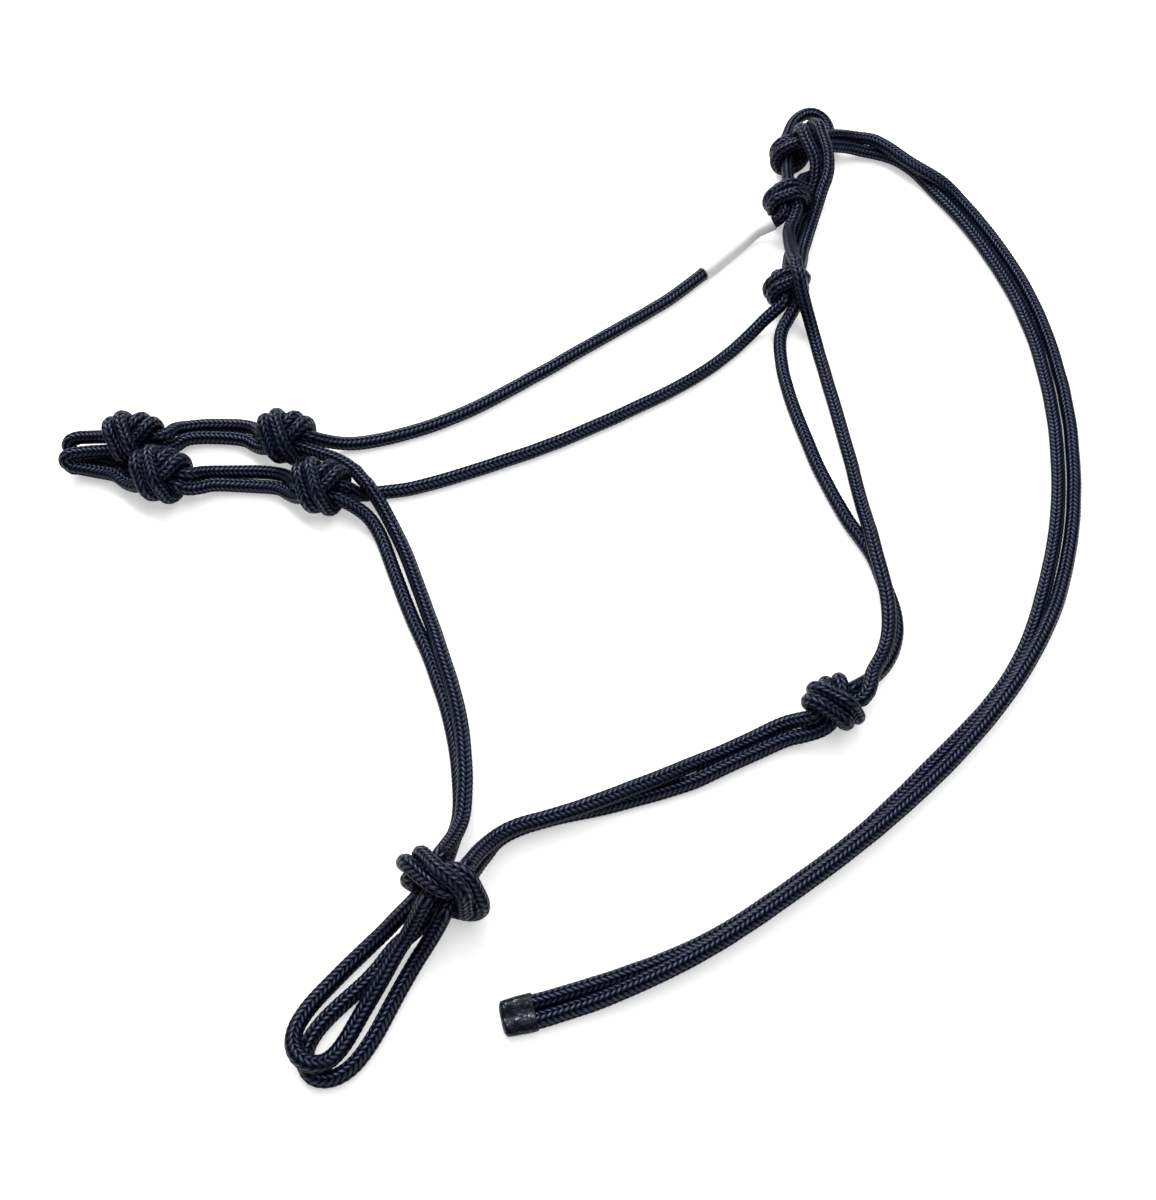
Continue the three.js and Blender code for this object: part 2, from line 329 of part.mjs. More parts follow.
    [107.57, 220.38, 5.2], [106.31, 220.57, 7.84], [106.45, 220.79, 10.77],
    [107.98, 221.19, 13.52], [110.24, 221.61, 14.97], [113.36, 222.05, 15.29],
    [115.81, 222.19, 14.09], [119.25, 221.07, 11.34], [122.72, 220.23, 10.55],
    [127.2, 219.71, 11.07], [131.16, 220.69, 11.83], [135.39, 222.29, 11.62],
    [139.43, 223.69, 10.11], [146.39, 225.8, 7.48], [147.52, 225.97, 7.09]
  ] }],
  crown_tail_a_inner: [{ taper: "both", points: [
    [149.78, 226.13, 6.31], [157.1, 225.92, 4.45], [162.64, 224.86, 3.95], [168.56, 222.17, 4.02],
    [174.6, 217.75, 4.13], [180.08, 211.76, 3.92], [186.07, 202.68, 3.45], [198.56, 179.93, 3.59],
    [205.6, 164.66, 3.52], [212.78, 145.02, 3.47], [216.46, 132.9, 3.47]
  ] }],
  crown_tail_b_inner: [{ taper: "both", points: [
    [217.11, 130.59, 3.47], [220.71, 115.37, 3.49], [223.83, 94.7, 3.48], [224.88, 77.92, 3.43],
    [225.1, 57.01, 3.44], [223.88, 36.13, 3.45], [220.32, 10.38, 3.43], [215.54, -11.59, 3.43],
    [209.68, -30.48, 3.5], [200.41, -54.62, 3.58], [199.62, -56.51, 3.58]
  ] }],
  crown_tail_c_inner: [{ taper: "start", points: [
    [198.69, -58.71, 3.58], [191.99, -72.81, 3.58], [184.54, -85.17, 3.58], [175.84, -96.73, 3.58],
    [164.52, -109.1, 3.58], [146.11, -126.72, 3.58], [127.64, -144.12, 3.58],
    [112.01, -157.85, 3.58], [94.18, -171.36, 3.58], [72.85, -186.08, 3.58],
    [56.49, -196.34, 3.58], [42.21, -203.58, 3.58], [25.32, -210.28, 3.58], [1.53, -218.03, 3.58],
    [-17.85, -223.34, 3.58], [-23.31, -224.58, 3.58]
  ] }]
};

// Sleeve centrelines, [x, y, z]. The end sleeve has one per rope end, open end first.
const LABEL_LINE = [
  [64.19, 137.64, 4], [70.16, 143.5, 4], [76.01, 149.47, 4.03], [81.83, 155.48, 4.18],
  [87.72, 161.38, 4.79], [94.25, 166.27, 6.45], [101.64, 168.16, 9.72]
];
const END_LINES = [
  [[-13.56, -229.01, 3.77], [-16.21, -229.63, 3.71], [-18.74, -230.2, 3.66],
    [-20.96, -230.72, 3.63], [-24.73, -231.63, 3.61]],
  [[-15.49, -222.81, 3.58], [-18.38, -223.46, 3.58], [-21.67, -224.2, 3.58],
    [-24.09, -224.76, 3.58], [-26.27, -225.29, 3.58]]
];

const wasm = await Module();
wasm.setup();

// ---- meshes and solids ----
function indexedGeometry(positions, indices) {
  const geometry = new THREE.BufferGeometry();
  geometry.setAttribute("position", new THREE.Float32BufferAttribute(positions, 3));
  geometry.setIndex(new THREE.Uint32BufferAttribute(indices, 1));
  return geometry;
}

function toGeometry(solid) {
  const mesh = solid.getMesh();
  return indexedGeometry(mesh.vertProperties, mesh.triVerts);
}

function toSolid(geometry, weld = WELD.build) {
  geometry.deleteAttribute("normal");
  geometry.deleteAttribute("uv");
  const welded = mergeVertices(geometry, weld);
  return new wasm.Manifold(
    new wasm.Mesh({
      numProp: 3,
      vertProperties: new Float32Array(welded.attributes.position.array),
      triVerts: new Uint32Array(welded.index.array),
    }),
  );
}

const biggest = (solid) => solid.decompose().sort((a, b) => b.volume() - a.volume())[0];

// Unit direction of the centreline at each point, averaged over the segments that meet there.
function tangents(centres) {
  return centres.map((centre, i) => {
    const tangent = new THREE.Vector3();
    if (i > 0) tangent.add(centre.clone().sub(centres[i - 1]).normalize());
    if (i < centres.length - 1) tangent.add(centres[i + 1].clone().sub(centre).normalize());
    return tangent.normalize();
  });
}

// A closed tube through rings of { at, radius }; phase turns the section about the centreline.
function tube(rings, sides, phase = 0) {
  const centres = rings.map(({ at }) => new THREE.Vector3(...at));
  const along = tangents(centres);
  const steep = Math.abs(along[0].z) > 0.9;
  const up = steep ? new THREE.Vector3(0, 1, 0) : new THREE.Vector3(0, 0, 1);
  const across = up.clone().sub(along[0].clone().multiplyScalar(up.dot(along[0]))).normalize();
  const positions = [];
  const indices = [];
  rings.forEach(({ radius }, i) => {
    // carried on from the last ring, so that the section does not twist
    across.sub(along[i].clone().multiplyScalar(across.dot(along[i]))).normalize();
    const side = along[i].clone().cross(across);
    for (let k = 0; k < sides; k++) {
      const angle = (2 * Math.PI * k) / sides + phase;
      const corner = centres[i]
        .clone()
        .addScaledVector(across, radius * Math.cos(angle))
        .addScaledVector(side, radius * Math.sin(angle));
      positions.push(corner.x, corner.y, corner.z);
    }
  });
  const last = (rings.length - 1) * sides;
  for (let start = 0; start < last; start += sides)
    for (let k = 0; k < sides; k++) {
      const a = start + k;
      const b = start + ((k + 1) % sides);
      indices.push(a, b, b + sides, a, b + sides, a + sides);
    }
  for (let k = 1; k < sides - 1; k++) {
    indices.push(0, k + 1, k);
    indices.push(last, last + k, last + k + 1);
  }
  return toSolid(indexedGeometry(positions, indices));
}

// ---- rope ----
const distance = (a, b) => Math.hypot(a[0] - b[0], a[1] - b[1], a[2] - b[2]);

function taperFirst(rings) {
  const [end, next] = rings;
  const length = distance(end.at, next.at);
  if (length > TAPER.length + TAPER.minRest) {
    const share = TAPER.length / length;
    const at = end.at.map((x, i) => x + (next.at[i] - x) * share);
    rings.splice(1, 0, { at, radius: end.radius });
  }
  end.radius *= TAPER.endShare;
}

function extendFirst([end, next], extra) {
  const length = distance(end.at, next.at);
  end.at = end.at.map((x, i) => x + ((x - next.at[i]) / length) * extra);
}

function strandRings({ taper, points }, radius, extra) {
  const rings = points.map((at) => ({ at, radius }));
  // each reversal brings the named end to the front; the second restores the order
  for (const end of ["end", "start"]) {
    rings.reverse();
    if (taper === end || taper === "both") taperFirst(rings);
    if (extra) extendFirst(rings, extra);
  }
  return rings;
}

const isKnot = (name) => ROPE[name].length > 1;
const section = (name) => (isKnot(name) ? KNOT : RUN);

// All strands of a piece joined, grown outward and past their ends by grow.
function pieceSolid(name, grow = 0) {
  const { radius, sides } = section(name);
  return ROPE[name]
    .map((strand) => tube(strandRings(strand, radius + grow, grow), sides))
    .reduce((joined, strand) => joined.add(strand));
}

// A knot is packed solid: only its outer skin is kept.
const ropePiece = (name) => biggest(biggest(pieceSolid(name)).simplify(section(name).facet));

// ---- sleeves ----
// Turned by half a facet, so that a flat faces up.
const sleeveTube = (rings) => tube(rings, SLEEVE_SIDES, Math.PI / SLEEVE_SIDES);

// A thin open sleeve over the near cheek.
function labelSleeve() {
  const outside = sleeveTube(LABEL_LINE.map((at) => ({ at, radius: LABEL_RADIUS })));
  return outside.subtract(pieceSolid("cheek_near", SLEEVE_GAP));
}

// One cap over both rope ends, pinched at its closed end, with a flat underside.
function endSleeve() {
  const lobes = END_LINES.map((line) => {
    const rings = line.map((at) => ({ at, radius: END_RADIUS }));
    rings.at(-1).radius *= END_PINCH;
    return sleeveTube(rings);
  });
  let cap = wasm.Manifold.hull(lobes);
  for (const name of ["crown_tail_c_outer", "crown_tail_c_inner"])
    cap = cap.subtract(pieceSolid(name, SLEEVE_GAP));
  const { width, height } = FOOT_CUT;
  const under = new THREE.BoxGeometry(width, width, height);
  const [x, y] = END_LINES[0][0];
  under.translate(x, y, FOOT_Z - height / 2);
  return biggest(cap.subtract(toSolid(under)));
}

// ---- clearance between rope pieces ----
const boxesMeet = (a, b) =>
  [0, 1, 2].every((i) => a.min[i] < b.max[i] + BOX_MARGIN && b.min[i] < a.max[i] + BOX_MARGIN);

// Knots give way to runs; between equals, the later listed gives way.
function keepClearance(solids) {
  const names = Object.keys(ROPE);
  names.forEach((name, i) =>
    names.forEach((other, k) => {
      const givesWay = isKnot(name) === isKnot(other) ? i > k : isKnot(name);
      if (!givesWay) return;
      const piece = solids.get(name);
      if (!boxesMeet(piece.boundingBox(), solids.get(other).boundingBox())) return;
      const grown = pieceSolid(other, CLEARANCE);
      if (piece.intersect(grown).volume() > MIN_OVERLAP)
        solids.set(name, biggest(piece.subtract(grown)));
    }),
  );
}

// ---- finished meshes ----
// Welds near vertices and keeps one skin, which fills any pocket that the weld closes off.
const clean = (solid) => biggest(toSolid(toGeometry(solid).toNonIndexed(), WELD.clean));

const makeMaterial = (kind) =>
  new THREE.MeshStandardMaterial({ color: COLORS[kind], roughness: ROUGHNESS[kind] });

function finishedMesh(name, solid, kind) {
  // a second pass settles what the first weld leaves
  const cleaned = clean(clean(biggest(solid.simplify(SLIVER))));
  const geometry = toGeometry(cleaned).toNonIndexed();
  geometry.computeVertexNormals();
  const mesh = new THREE.Mesh(geometry, makeMaterial(kind));
  mesh.name = name;
  return mesh;
}

const ropeSolids = new Map(Object.keys(ROPE).map((name) => [name, ropePiece(name)]));
keepClearance(ropeSolids);

const group = new THREE.Group();
group.name = "rope_halter";
for (const [name, solid] of ropeSolids) group.add(finishedMesh(name, solid, "rope"));
group.add(finishedMesh("label_sleeve", labelSleeve(), "label"));
group.add(finishedMesh("tail_end_sleeve", endSleeve(), "cap"));
export default group;
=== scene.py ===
"""Rope halter: one braided rope knotted into a halter, with a white label sleeve and a black end sleeve.

It lies on the floor plane z = 0, noseband towards -X. Metres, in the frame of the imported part;
the rope and the sleeves are worked out in millimetres and scaled when meshed.
"""

import json
import math

import bpy
import numpy as np
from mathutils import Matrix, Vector

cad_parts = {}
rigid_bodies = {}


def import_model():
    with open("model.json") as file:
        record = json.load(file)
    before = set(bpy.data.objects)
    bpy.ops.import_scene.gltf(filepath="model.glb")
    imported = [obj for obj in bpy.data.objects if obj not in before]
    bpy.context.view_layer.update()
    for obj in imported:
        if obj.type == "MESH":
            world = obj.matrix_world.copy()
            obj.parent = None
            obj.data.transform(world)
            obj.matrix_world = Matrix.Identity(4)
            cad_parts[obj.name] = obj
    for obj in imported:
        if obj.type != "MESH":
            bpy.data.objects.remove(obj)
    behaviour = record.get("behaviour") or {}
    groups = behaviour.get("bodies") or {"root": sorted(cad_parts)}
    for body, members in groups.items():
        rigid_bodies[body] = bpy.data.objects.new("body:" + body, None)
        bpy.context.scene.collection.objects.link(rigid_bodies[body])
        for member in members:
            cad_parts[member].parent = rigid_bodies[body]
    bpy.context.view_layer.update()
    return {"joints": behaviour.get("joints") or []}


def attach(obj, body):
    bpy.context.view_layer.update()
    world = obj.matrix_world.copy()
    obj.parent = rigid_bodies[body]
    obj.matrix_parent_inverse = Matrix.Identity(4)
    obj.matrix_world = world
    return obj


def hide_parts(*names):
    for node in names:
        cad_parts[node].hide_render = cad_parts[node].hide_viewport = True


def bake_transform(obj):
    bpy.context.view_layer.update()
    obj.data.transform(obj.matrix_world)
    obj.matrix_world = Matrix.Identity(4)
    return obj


MM = 0.001

# rope, mm
ROPE_RADIUS = 3.22
LEAD = 18.0  # rope length in which a carrier goes once round
CARRIERS = 8  # carriers each way
FLOAT_RISE = 0.20  # how far a float rises over its neighbours
YARN_CROWN = 0.40  # crown of one carrier
RING_STEP = 0.45
ROUND = 40  # vertices round the rope
FRAME_STEP = 0.4  # step of the frame carried along the rope
BEND = 24.0  # reach of a bend each way from where two runs meet

# stretches of rope under the sleeves, mm along the rope
LABEL_RUN = (1984.54, 2034.72)
END_RUNS = (11.48, 5963.16)  # each from here to its own rope end

# rope colour from groove to crown: the rope's own navy between the ends, painted shade towards the grooves
# and a painted highlight at the crowns
ROPE_SHADE_TO_HIGHLIGHT_COLORS = (
    (0.0, (0.0002, 0.0004, 0.0020)),
    (0.30, (0.0014, 0.0027, 0.0100)),
    (0.65, (0.0075, 0.0125, 0.032)),
    (1.0, (0.075, 0.098, 0.165)),
)
SKY = 0.25
FLOOR_LIFT = 0.45  # extra brightness of floor and backdrop seen directly

CAMERA_HEIGHT = 0.490
CAMERA_ELEVATION = math.radians(60)
CAMERA_SHIFT = (0.00104, -0.05028, 0.00018)

# centreline of the one rope: x,y,z of each point, hundredths of a millimetre
CENTRELINE = """
-2473,-23163,361 -2154,-23086,363 -1987,-23046,365 -1801,-23004,367 -1608,-22960,371 -1407,-22913,376
-1200,-22863,381 -991,-22807,389 -783,-22748,398 -576,-22687,408 -370,-22625,421 -162,-22563,435
45,-22499,451 254,-22435,469 463,-22370,489 673,-22302,511 883,-22231,533 1092,-22158,557
1300,-22083,581 1506,-22006,605 1710,-21928,629 1912,-21849,653 2113,-21768,676 2311,-21686,697
2508,-21604,718 2702,-21520,737 2896,-21436,755 3091,-21349,773 3290,-21260,789 3507,-21161,805
3757,-21042,822 4009,-20920,838 4229,-20810,850 4426,-20708,861 4619,-20606,870 4810,-20503,879
5000,-20398,887 5189,-20291,894 5377,-20183,900 5565,-20072,905 5752,-19960,910 5938,-19846,914
6124,-19730,917 6310,-19613,919 6495,-19495,922 6679,-19376,923 6863,-19256,924 7046,-19135,925
7229,-19013,926 7411,-18890,927 7593,-18767,927 7775,-18644,927 7957,-18520,927 8139,-18396,927
8320,-18272,928 8501,-18147,928 8682,-18022,928 8863,-17896,928 9044,-17770,928 9225,-17644,927
9405,-17517,927 9585,-17390,927 9764,-17261,927 9943,-17133,927 10122,-17003,926 10300,-16873,926
10477,-16742,925 10654,-16610,924 10830,-16478,923 11006,-16344,921 11181,-16210,919 11355,-16075,917
11529,-15939,914 11702,-15802,911 11875,-15664,907 12047,-15526,902 12218,-15386,897 12388,-15247,891
12557,-15107,885 12726,-14966,878 12894,-14824,871 13062,-14682,864 13228,-14539,856 13391,-14398,849
13551,-14259,842 13708,-14122,835 13863,-13985,829 14019,-13845,823 14177,-13702,818 14339,-13555,814
14503,-13404,812 14667,-13251,810 14828,-13099,810 14984,-12950,812 15134,-12805,815 15281,-12662,818
15427,-12519,823 15573,-12373,829 15722,-12223,835 15872,-12070,842 16023,-11914,850 16175,-11756,857
16325,-11596,865 16475,-11436,872 16624,-11275,880 16772,-11113,886 16918,-10951,892 17062,-10788,898
17205,-10624,903 17347,-10460,907 17488,-10294,911 17627,-10127,914 17765,-9959,917 17902,-9789,919
18037,-9618,920 18170,-9446,921 18302,-9273,921 18431,-9099,920 18558,-8925,919 18682,-8752,918
18804,-8578,915 18925,-8403,912 19044,-8227,908 19162,-8050,902 19279,-7870,896 19396,-7689,888
19510,-7508,878 19623,-7327,867 19734,-7147,854 19842,-6968,839 19949,-6789,822 20054,-6609,802
20158,-6427,780 20261,-6243,756 20364,-6057,729 20464,-5869,701 20564,-5678,671 20661,-5484,639
20757,-5287,608 20851,-5088,576 20944,-4884,545 21034,-4677,515 21124,-4469,487 21213,-4260,460
21301,-4049,436 21385,-3839,417 21467,-3628,401 21547,-3416,389 21623,-3203,379 21698,-2989,371
21772,-2774,365 21844,-2557,361 21915,-2341,358 21984,-2124,355 22051,-1909,353 22115,-1693,352
22176,-1478,351 22234,-1264,350 22289,-1051,349 22342,-836,348 22393,-622,347 22443,-406,346
22490,-191,345 22537,24,345 22582,240,344 22626,456,344 22669,672,344 22711,888,344
22751,1104,344 22789,1321,344 22824,1538,344 22858,1756,344 22888,1975,343 22917,2193,342
22945,2412,342 22972,2631,341 23000,2849,342 23029,3067,342 23057,3285,343 23084,3502,344
23110,3720,345 23132,3938,345 23150,4158,346 23165,4377,345 23178,4598,344 23188,4818,344
23198,5038,343 23208,5258,343 23217,5478,344 23226,5697,344 23234,5916,345 23239,6136,346
23240,6356,346 23239,6576,345 23235,6797,345 23228,7018,344 23221,7238,343 23213,7459,342
23205,7679,342 23197,7898,343 23189,8118,344 23180,8337,344 23169,8556,345 23156,8775,346
23140,8994,346 23122,9214,346 23102,9433,346 23080,9652,346 23056,9871,346 23030,10089,346
23003,10308,346 22975,10526,346 22945,10744,347 22913,10961,347 22879,11178,348 22842,11395,348
22804,11611,348 22764,11828,348 22721,12043,348 22676,12259,349 22629,12474,349 22581,12688,349
22530,12902,349 22477,13116,350 22422,13328,350 22366,13541,350 22306,13752,350 22245,13963,350
22181,14174,350 22115,14384,350 22047,14594,350 21978,14803,350 21906,15011,350 21833,15219,351
21759,15426,352 21684,15632,353 21608,15836,353 21531,16039,354 21453,16241,355 21373,16441,357
21289,16643,360 21201,16845,365 21109,17048,372 21012,17251,381 20913,17454,390 20812,17653,401
20712,17849,412 20612,18039,423 20513,18222,435 20414,18399,449 20315,18568,466 20212,18733,488
20103,18894,516 19987,19053,553 19863,19210,600 19730,19363,654 19587,19511,715 19434,19653,778
19272,19789,838 19103,19923,888 18930,20057,926 18756,20193,952 18583,20333,968 18412,20476,976
18244,20624,980 18078,20774,983 17915,20926,986 17756,21079,988 17603,21233,992 17454,21387,996
17312,21541,1001 17173,21693,1006 17037,21843,1011 16901,21991,1016 16764,22135,1021 16625,22277,1026
16483,22417,1028 16337,22555,1026 16189,22690,1017 16035,22815,1000 15874,22923,973 15706,23011,944
15533,23083,920 15354,23138,905 15173,23180,902 14988,23207,910 14797,23222,930 14611,23219,959
14430,23200,996 14252,23165,1039 14077,23118,1089 13904,23060,1147 13724,22999,1191 13545,22931,1233
13366,22856,1278 13186,22776,1325 13003,22694,1375 12823,22590,1412 12635,22483,1483 12469,22355,1586
12314,22206,1670 12164,22046,1725 12000,21892,1755 11811,21776,1773 11628,21696,1791 11452,21623,1768
11272,21587,1710 11091,21542,1631 10920,21503,1525 10759,21483,1392 10639,21463,1208 10587,21432,996
10610,21408,781 10704,21386,591 10851,21373,447 11031,21370,356 11228,21385,338 11421,21425,338
11608,21498,338 11775,21604,338 11920,21736,338 12045,21887,338 12149,22060,338 12235,22244,341
12295,22436,355 12324,22619,390 12326,22782,456 12350,22936,527 12378,23081,615 12408,23217,723
12442,23341,853 12480,23448,1001 12523,23527,1158 12569,23561,1301 12612,23547,1425 12650,23490,1532
12684,23398,1630 12714,23275,1722 12742,23129,1812 12769,22978,1920 12808,22798,2018 12853,22592,2076
12885,22387,2073 12901,22196,2049 12932,22005,2044 12966,21812,2040 13002,21616,2034 13036,21416,2023
13067,21213,2005 13095,21006,1979 13117,20795,1943 13132,20580,1898 13136,20361,1842 13129,20137,1777
13116,19909,1704 13082,19680,1627 13027,19457,1545 12961,19239,1461 12865,19045,1361 12785,18845,1269
12709,18644,1183 12637,18441,1104 12566,18239,1033 12496,18036,969 12427,17833,913 12358,17630,865
12290,17426,823 12222,17223,789 12155,17020,761 12088,16817,739 12021,16613,722 11954,16409,710
11888,16205,703 11822,16000,701 11758,15795,701 11693,15592,702 11629,15392,704 11570,15197,709
11517,15008,720 11472,14827,741 11436,14656,776 11406,14494,824 11373,14331,876 11339,14170,935
11305,14010,1000 11269,13854,1072 11232,13699,1149 11193,13547,1230 11153,13396,1314 11117,13244,1403
11012,13098,1465 10861,12925,1404 10829,12766,1382 10782,12617,1316 10786,12480,1217 10754,12341,1123
10705,12200,1049 10660,12054,976 10554,11935,926 10442,11819,872 10314,11728,808 10164,11649,774
10004,11587,798 9852,11537,880 9730,11508,1009 9650,11496,1174 9627,11498,1352 9662,11512,1528
9750,11538,1675 9884,11575,1782 10042,11620,1833 10202,11665,1886 10360,11709,1937 10522,11753,1984
10688,11802,1970 10843,11853,1896 10965,11898,1772 11041,11939,1612 11096,11982,1447 11154,12036,1284
11211,12089,1123 11225,12156,958 11182,12226,805 11083,12295,677 10944,12352,593 10799,12409,512
10658,12468,433 10512,12530,358 10348,12584,338 10176,12622,375 10020,12635,465 9895,12622,598
9816,12584,755 9790,12517,919 9814,12425,1064 9883,12308,1170 9968,12169,1214 10015,12008,1224
10053,11853,1267 10103,11696,1306 10150,11537,1308 10190,11200,1305 10118,11054,1237 10006,10944,1144
9875,10872,1049 9746,10790,958 9612,10705,872 9476,10615,792 9335,10520,718 9199,10416,651
9068,10301,590 8940,10178,537 8811,10047,491 8681,9910,453 8548,9767,422 8411,9621,398
8271,9471,379 8129,9318,365 7983,9165,355 7835,9010,348 7685,8855,343 7532,8700,340
7378,8546,338 7222,8393,338 7063,8242,338 6902,8092,338 6739,7946,338 6573,7802,338
6405,7660,338 6235,7521,338 6063,7384,338 5890,7250,338 5714,7117,338 5538,6987,338
5359,6859,338 5179,6733,338 4998,6609,338 4815,6487,338 4631,6367,338 4446,6248,338
4260,6131,338 4073,6015,338 3885,5901,338 3697,5787,338 3508,5675,338 3319,5564,338
3128,5454,338 2938,5343,338 2748,5234,338 2557,5124,338 2367,5014,338 2177,4904,338
1987,4795,338 1796,4686,338 1605,4579,338 1412,4472,338 1220,4366,338 1026,4262,338
833,4157,338 640,4053,338 446,3949,338 253,3845,338 59,3741,338 -134,3637,338
-328,3534,338 -522,3432,338 -718,3332,338 -914,3235,338 -1112,3139,338 -1312,3046,338
-1511,2954,338 -1712,2864,338 -1912,2774,338 -2112,2684,338 -2313,2596,338 -2515,2509,338
-2718,2424,338 -2921,2340,338 -3125,2258,339 -3329,2175,339 -3532,2092,340 -3735,2007,339
-3938,1923,339 -4140,1839,338 -4343,1756,338 -4547,1674,338 -4752,1593,338 -4956,1513,338
-5161,1434,338 -5366,1355,338 -5571,1276,338 -5777,1199,338 -5983,1123,338 -6190,1049,338
-6397,977,338 -6606,908,338 -6815,841,338 -7024,776,338 -7235,714,338 -7447,656,338
-7660,603,338 -7874,557,338 -8089,518,338 -8305,486,338 -8521,459,338 -8734,434,340
-8943,410,342 -9144,385,338 -9337,341,338 -9515,283,372 -9668,223,448 -9801,184,564
-9909,164,703 -10006,152,846 -10108,138,990 -10247,146,1104 -10404,181,1189 -10604,227,1181
-10763,322,1158 -10921,412,1185 -11086,486,1226 -11242,582,1207 -11373,721,1236 -11482,848,1335
-11577,930,1492 -11653,954,1676 -11709,912,1870 -11744,808,2043 -11755,651,2181 -11743,464,2262
-11708,261,2278 -11651,73,2232 -11589,-111,2169 -11528,-292,2107 -11466,-476,2043 -11401,-629,1930
-11332,-731,1768 -11273,-771,1579 -11217,-793,1382 -11163,-813,1187 -11114,-834,988 -11052,-790,799
-10974,-685,642 -10890,-536,536 -10804,-355,494 -10733,-166,512 -10666,28,540 -10601,219,566
-10538,413,599 -10482,583,697 -10440,715,851 -10423,793,1040 -10433,811,1248 -10472,766,1443
-10536,663,1610 -10625,520,1720 -10729,354,1771 -10844,195,1753 -10970,57,1686 -11116,-50,1626
-11268,-153,1567 -11433,-195,1497 -11596,-243,1413 -11745,-265,1301 -11910,-288,1214 -12081,-337,1168
-12197,-312,1035 -12323,-248,933 -12450,-179,837 -12577,-100,754 -12703,-4,690 -12827,95,633
-12950,194,581 -13071,295,539 -13185,398,504 -13319,493,477 -13484,567,453 -13673,622,430
-13880,663,411 -14096,693,396 -14315,717,385 -14536,736,379 -14756,751,378 -14975,762,381
-15192,769,390 -15407,772,404 -15620,770,424 -15828,764,451 -16032,752,483 -16226,732,521
-16408,701,560 -16574,656,597 -16723,594,629 -16860,523,660 -16997,452,701 -17135,385,753
-17274,315,811 -17412,261,882 -17554,223,966 -17691,193,1057 -17832,225,1152 -18007,266,1147
-18169,359,1129 -18309,451,1044 -18456,561,996 -18609,663,976 -18766,762,953 -18903,880,1005
-19037,1007,1061 -19145,1154,1129 -19244,1287,1239 -19332,1371,1396 -19408,1393,1584 -19464,1352,1775
-19498,1246,1950 -19513,1090,2082 -19507,896,2160 -19480,694,2171 -19434,502,2116 -19372,346,2005
-19310,188,1892 -19249,32,1780 -19186,-122,1662 -19113,-220,1503 -19036,-253,1318 -18963,-215,1134
-18898,-111,968 -18832,11,820 -18755,131,673 -18679,248,528 -18592,399,421 -18508,577,378
-18435,768,403 -18382,944,491 -18329,1121,586 -18275,1294,680 -18219,1466,780 -18176,1597,931
-18158,1678,1122 -18167,1697,1326 -18205,1653,1525 -18268,1554,1691 -18356,1412,1808 -18464,1255,1861
-18592,1104,1844 -18736,1002,1771 -18907,958,1710 -19074,889,1678 -19241,815,1632 -19409,779,1566
-19610,801,1457 -19735,881,1310 -19814,1002,1165 -19898,1109,1016 -19987,1210,865 -20090,1300,711
-20216,1365,561 -20372,1436,430 -20547,1548,364 -20711,1690,361 -20847,1826,389 -21011,1924,395
-21187,2001,394 -21376,2062,392 -21572,2115,393 -21774,2163,399 -21979,2206,410 -22184,2245,428
-22388,2281,455 -22585,2313,493 -22774,2346,543 -22948,2388,610 -23094,2440,711 -23198,2511,831
-23235,2606,948 -23190,2704,1040 -23078,2789,1105 -22919,2852,1145 -22730,2892,1166 -22529,2907,1175
-22329,2907,1187 -22139,2897,1207 -21964,2878,1239 -21804,2850,1280 -21639,2819,1324 -21472,2784,1371
-21304,2747,1422 -21139,2699,1471 -20952,2699,1533 -20788,2744,1603 -20628,2826,1655 -20466,2906,1694
-20300,2958,1760 -20165,3065,1843 -20049,3223,1873 -19954,3392,1834 -19877,3550,1730 -19823,3668,1573
-19789,3731,1379 -19778,3730,1174 -19790,3665,977 -19821,3544,815 -19863,3377,700 -19904,3209,592
-19942,3037,482 -19980,2865,379 -20038,2672,338 -20108,2485,365 -20182,2319,458 -20248,2184,593
-20316,2046,729 -20371,1907,865 -20428,1785,1021 -20497,1726,1201 -20577,1736,1388 -20658,1814,1554
-20733,1953,1684 -20806,2093,1808 -20881,2235,1933 -20955,2376,2057 -21017,2559,2127 -21060,2758,2133
-21081,2956,2073 -21079,3124,1954 -21053,3246,1788 -21001,3308,1602 -20923,3308,1414 -20829,3245,1250
-20720,3130,1130 -20600,2999,1051 -20457,2888,985 -20311,2786,924 -20146,2699,940 -19985,2608,952
-19830,2506,992 -19682,2419,1070 -19514,2338,1081 -19336,2311,1084 -19204,2298,995 -19076,2348,921
-18976,2412,824 -18875,2500,752 -18776,2591,686 -18679,2690,635 -18580,2791,591 -18481,2891,556
-18383,2996,541 -18287,3099,537 -18175,3196,538 -18035,3275,528 -17871,3343,508 -17687,3393,483
-17489,3428,457 -17283,3453,435 -17072,3468,418 -16858,3475,407 -16641,3476,401 -16423,3468,400
-16204,3453,402 -15987,3428,408 -15773,3393,418 -15569,3346,431 -15379,3287,449 -15212,3211,471
-15073,3117,496 -14955,3012,529 -14830,2908,569 -14704,2808,617 -14574,2713,674 -14442,2621,738
-14307,2546,824 -14173,2476,914 -14042,2424,1021 -13918,2402,1153 -13749,2452,1202 -13584,2474,1290
-13436,2495,1404 -13275,2543,1490 -13110,2585,1562 -12961,2688,1626 -12817,2796,1690 -12694,2933,1763
-12582,3094,1788 -12482,3265,1744 -12396,3413,1640 -12333,3524,1478 -12295,3578,1285 -12283,3568,1077
-12299,3498,884 -12338,3371,725 -12389,3204,620 -12449,3010,579 -12510,2820,545 -12573,2626,509
-12639,2436,483 -12722,2252,518 -12804,2097,617 -12880,1984,770 -12942,1932,956 -12991,1943,1156
-13046,1955,1351 -13103,1967,1549 -13163,1998,1739 -13235,2093,1905 -13303,2239,2024 -13369,2419,2095
-13434,2596,2164 -13500,2776,2234 -13560,2960,2288 -13599,3163,2279 -13615,3354,2206 -13606,3516,2075
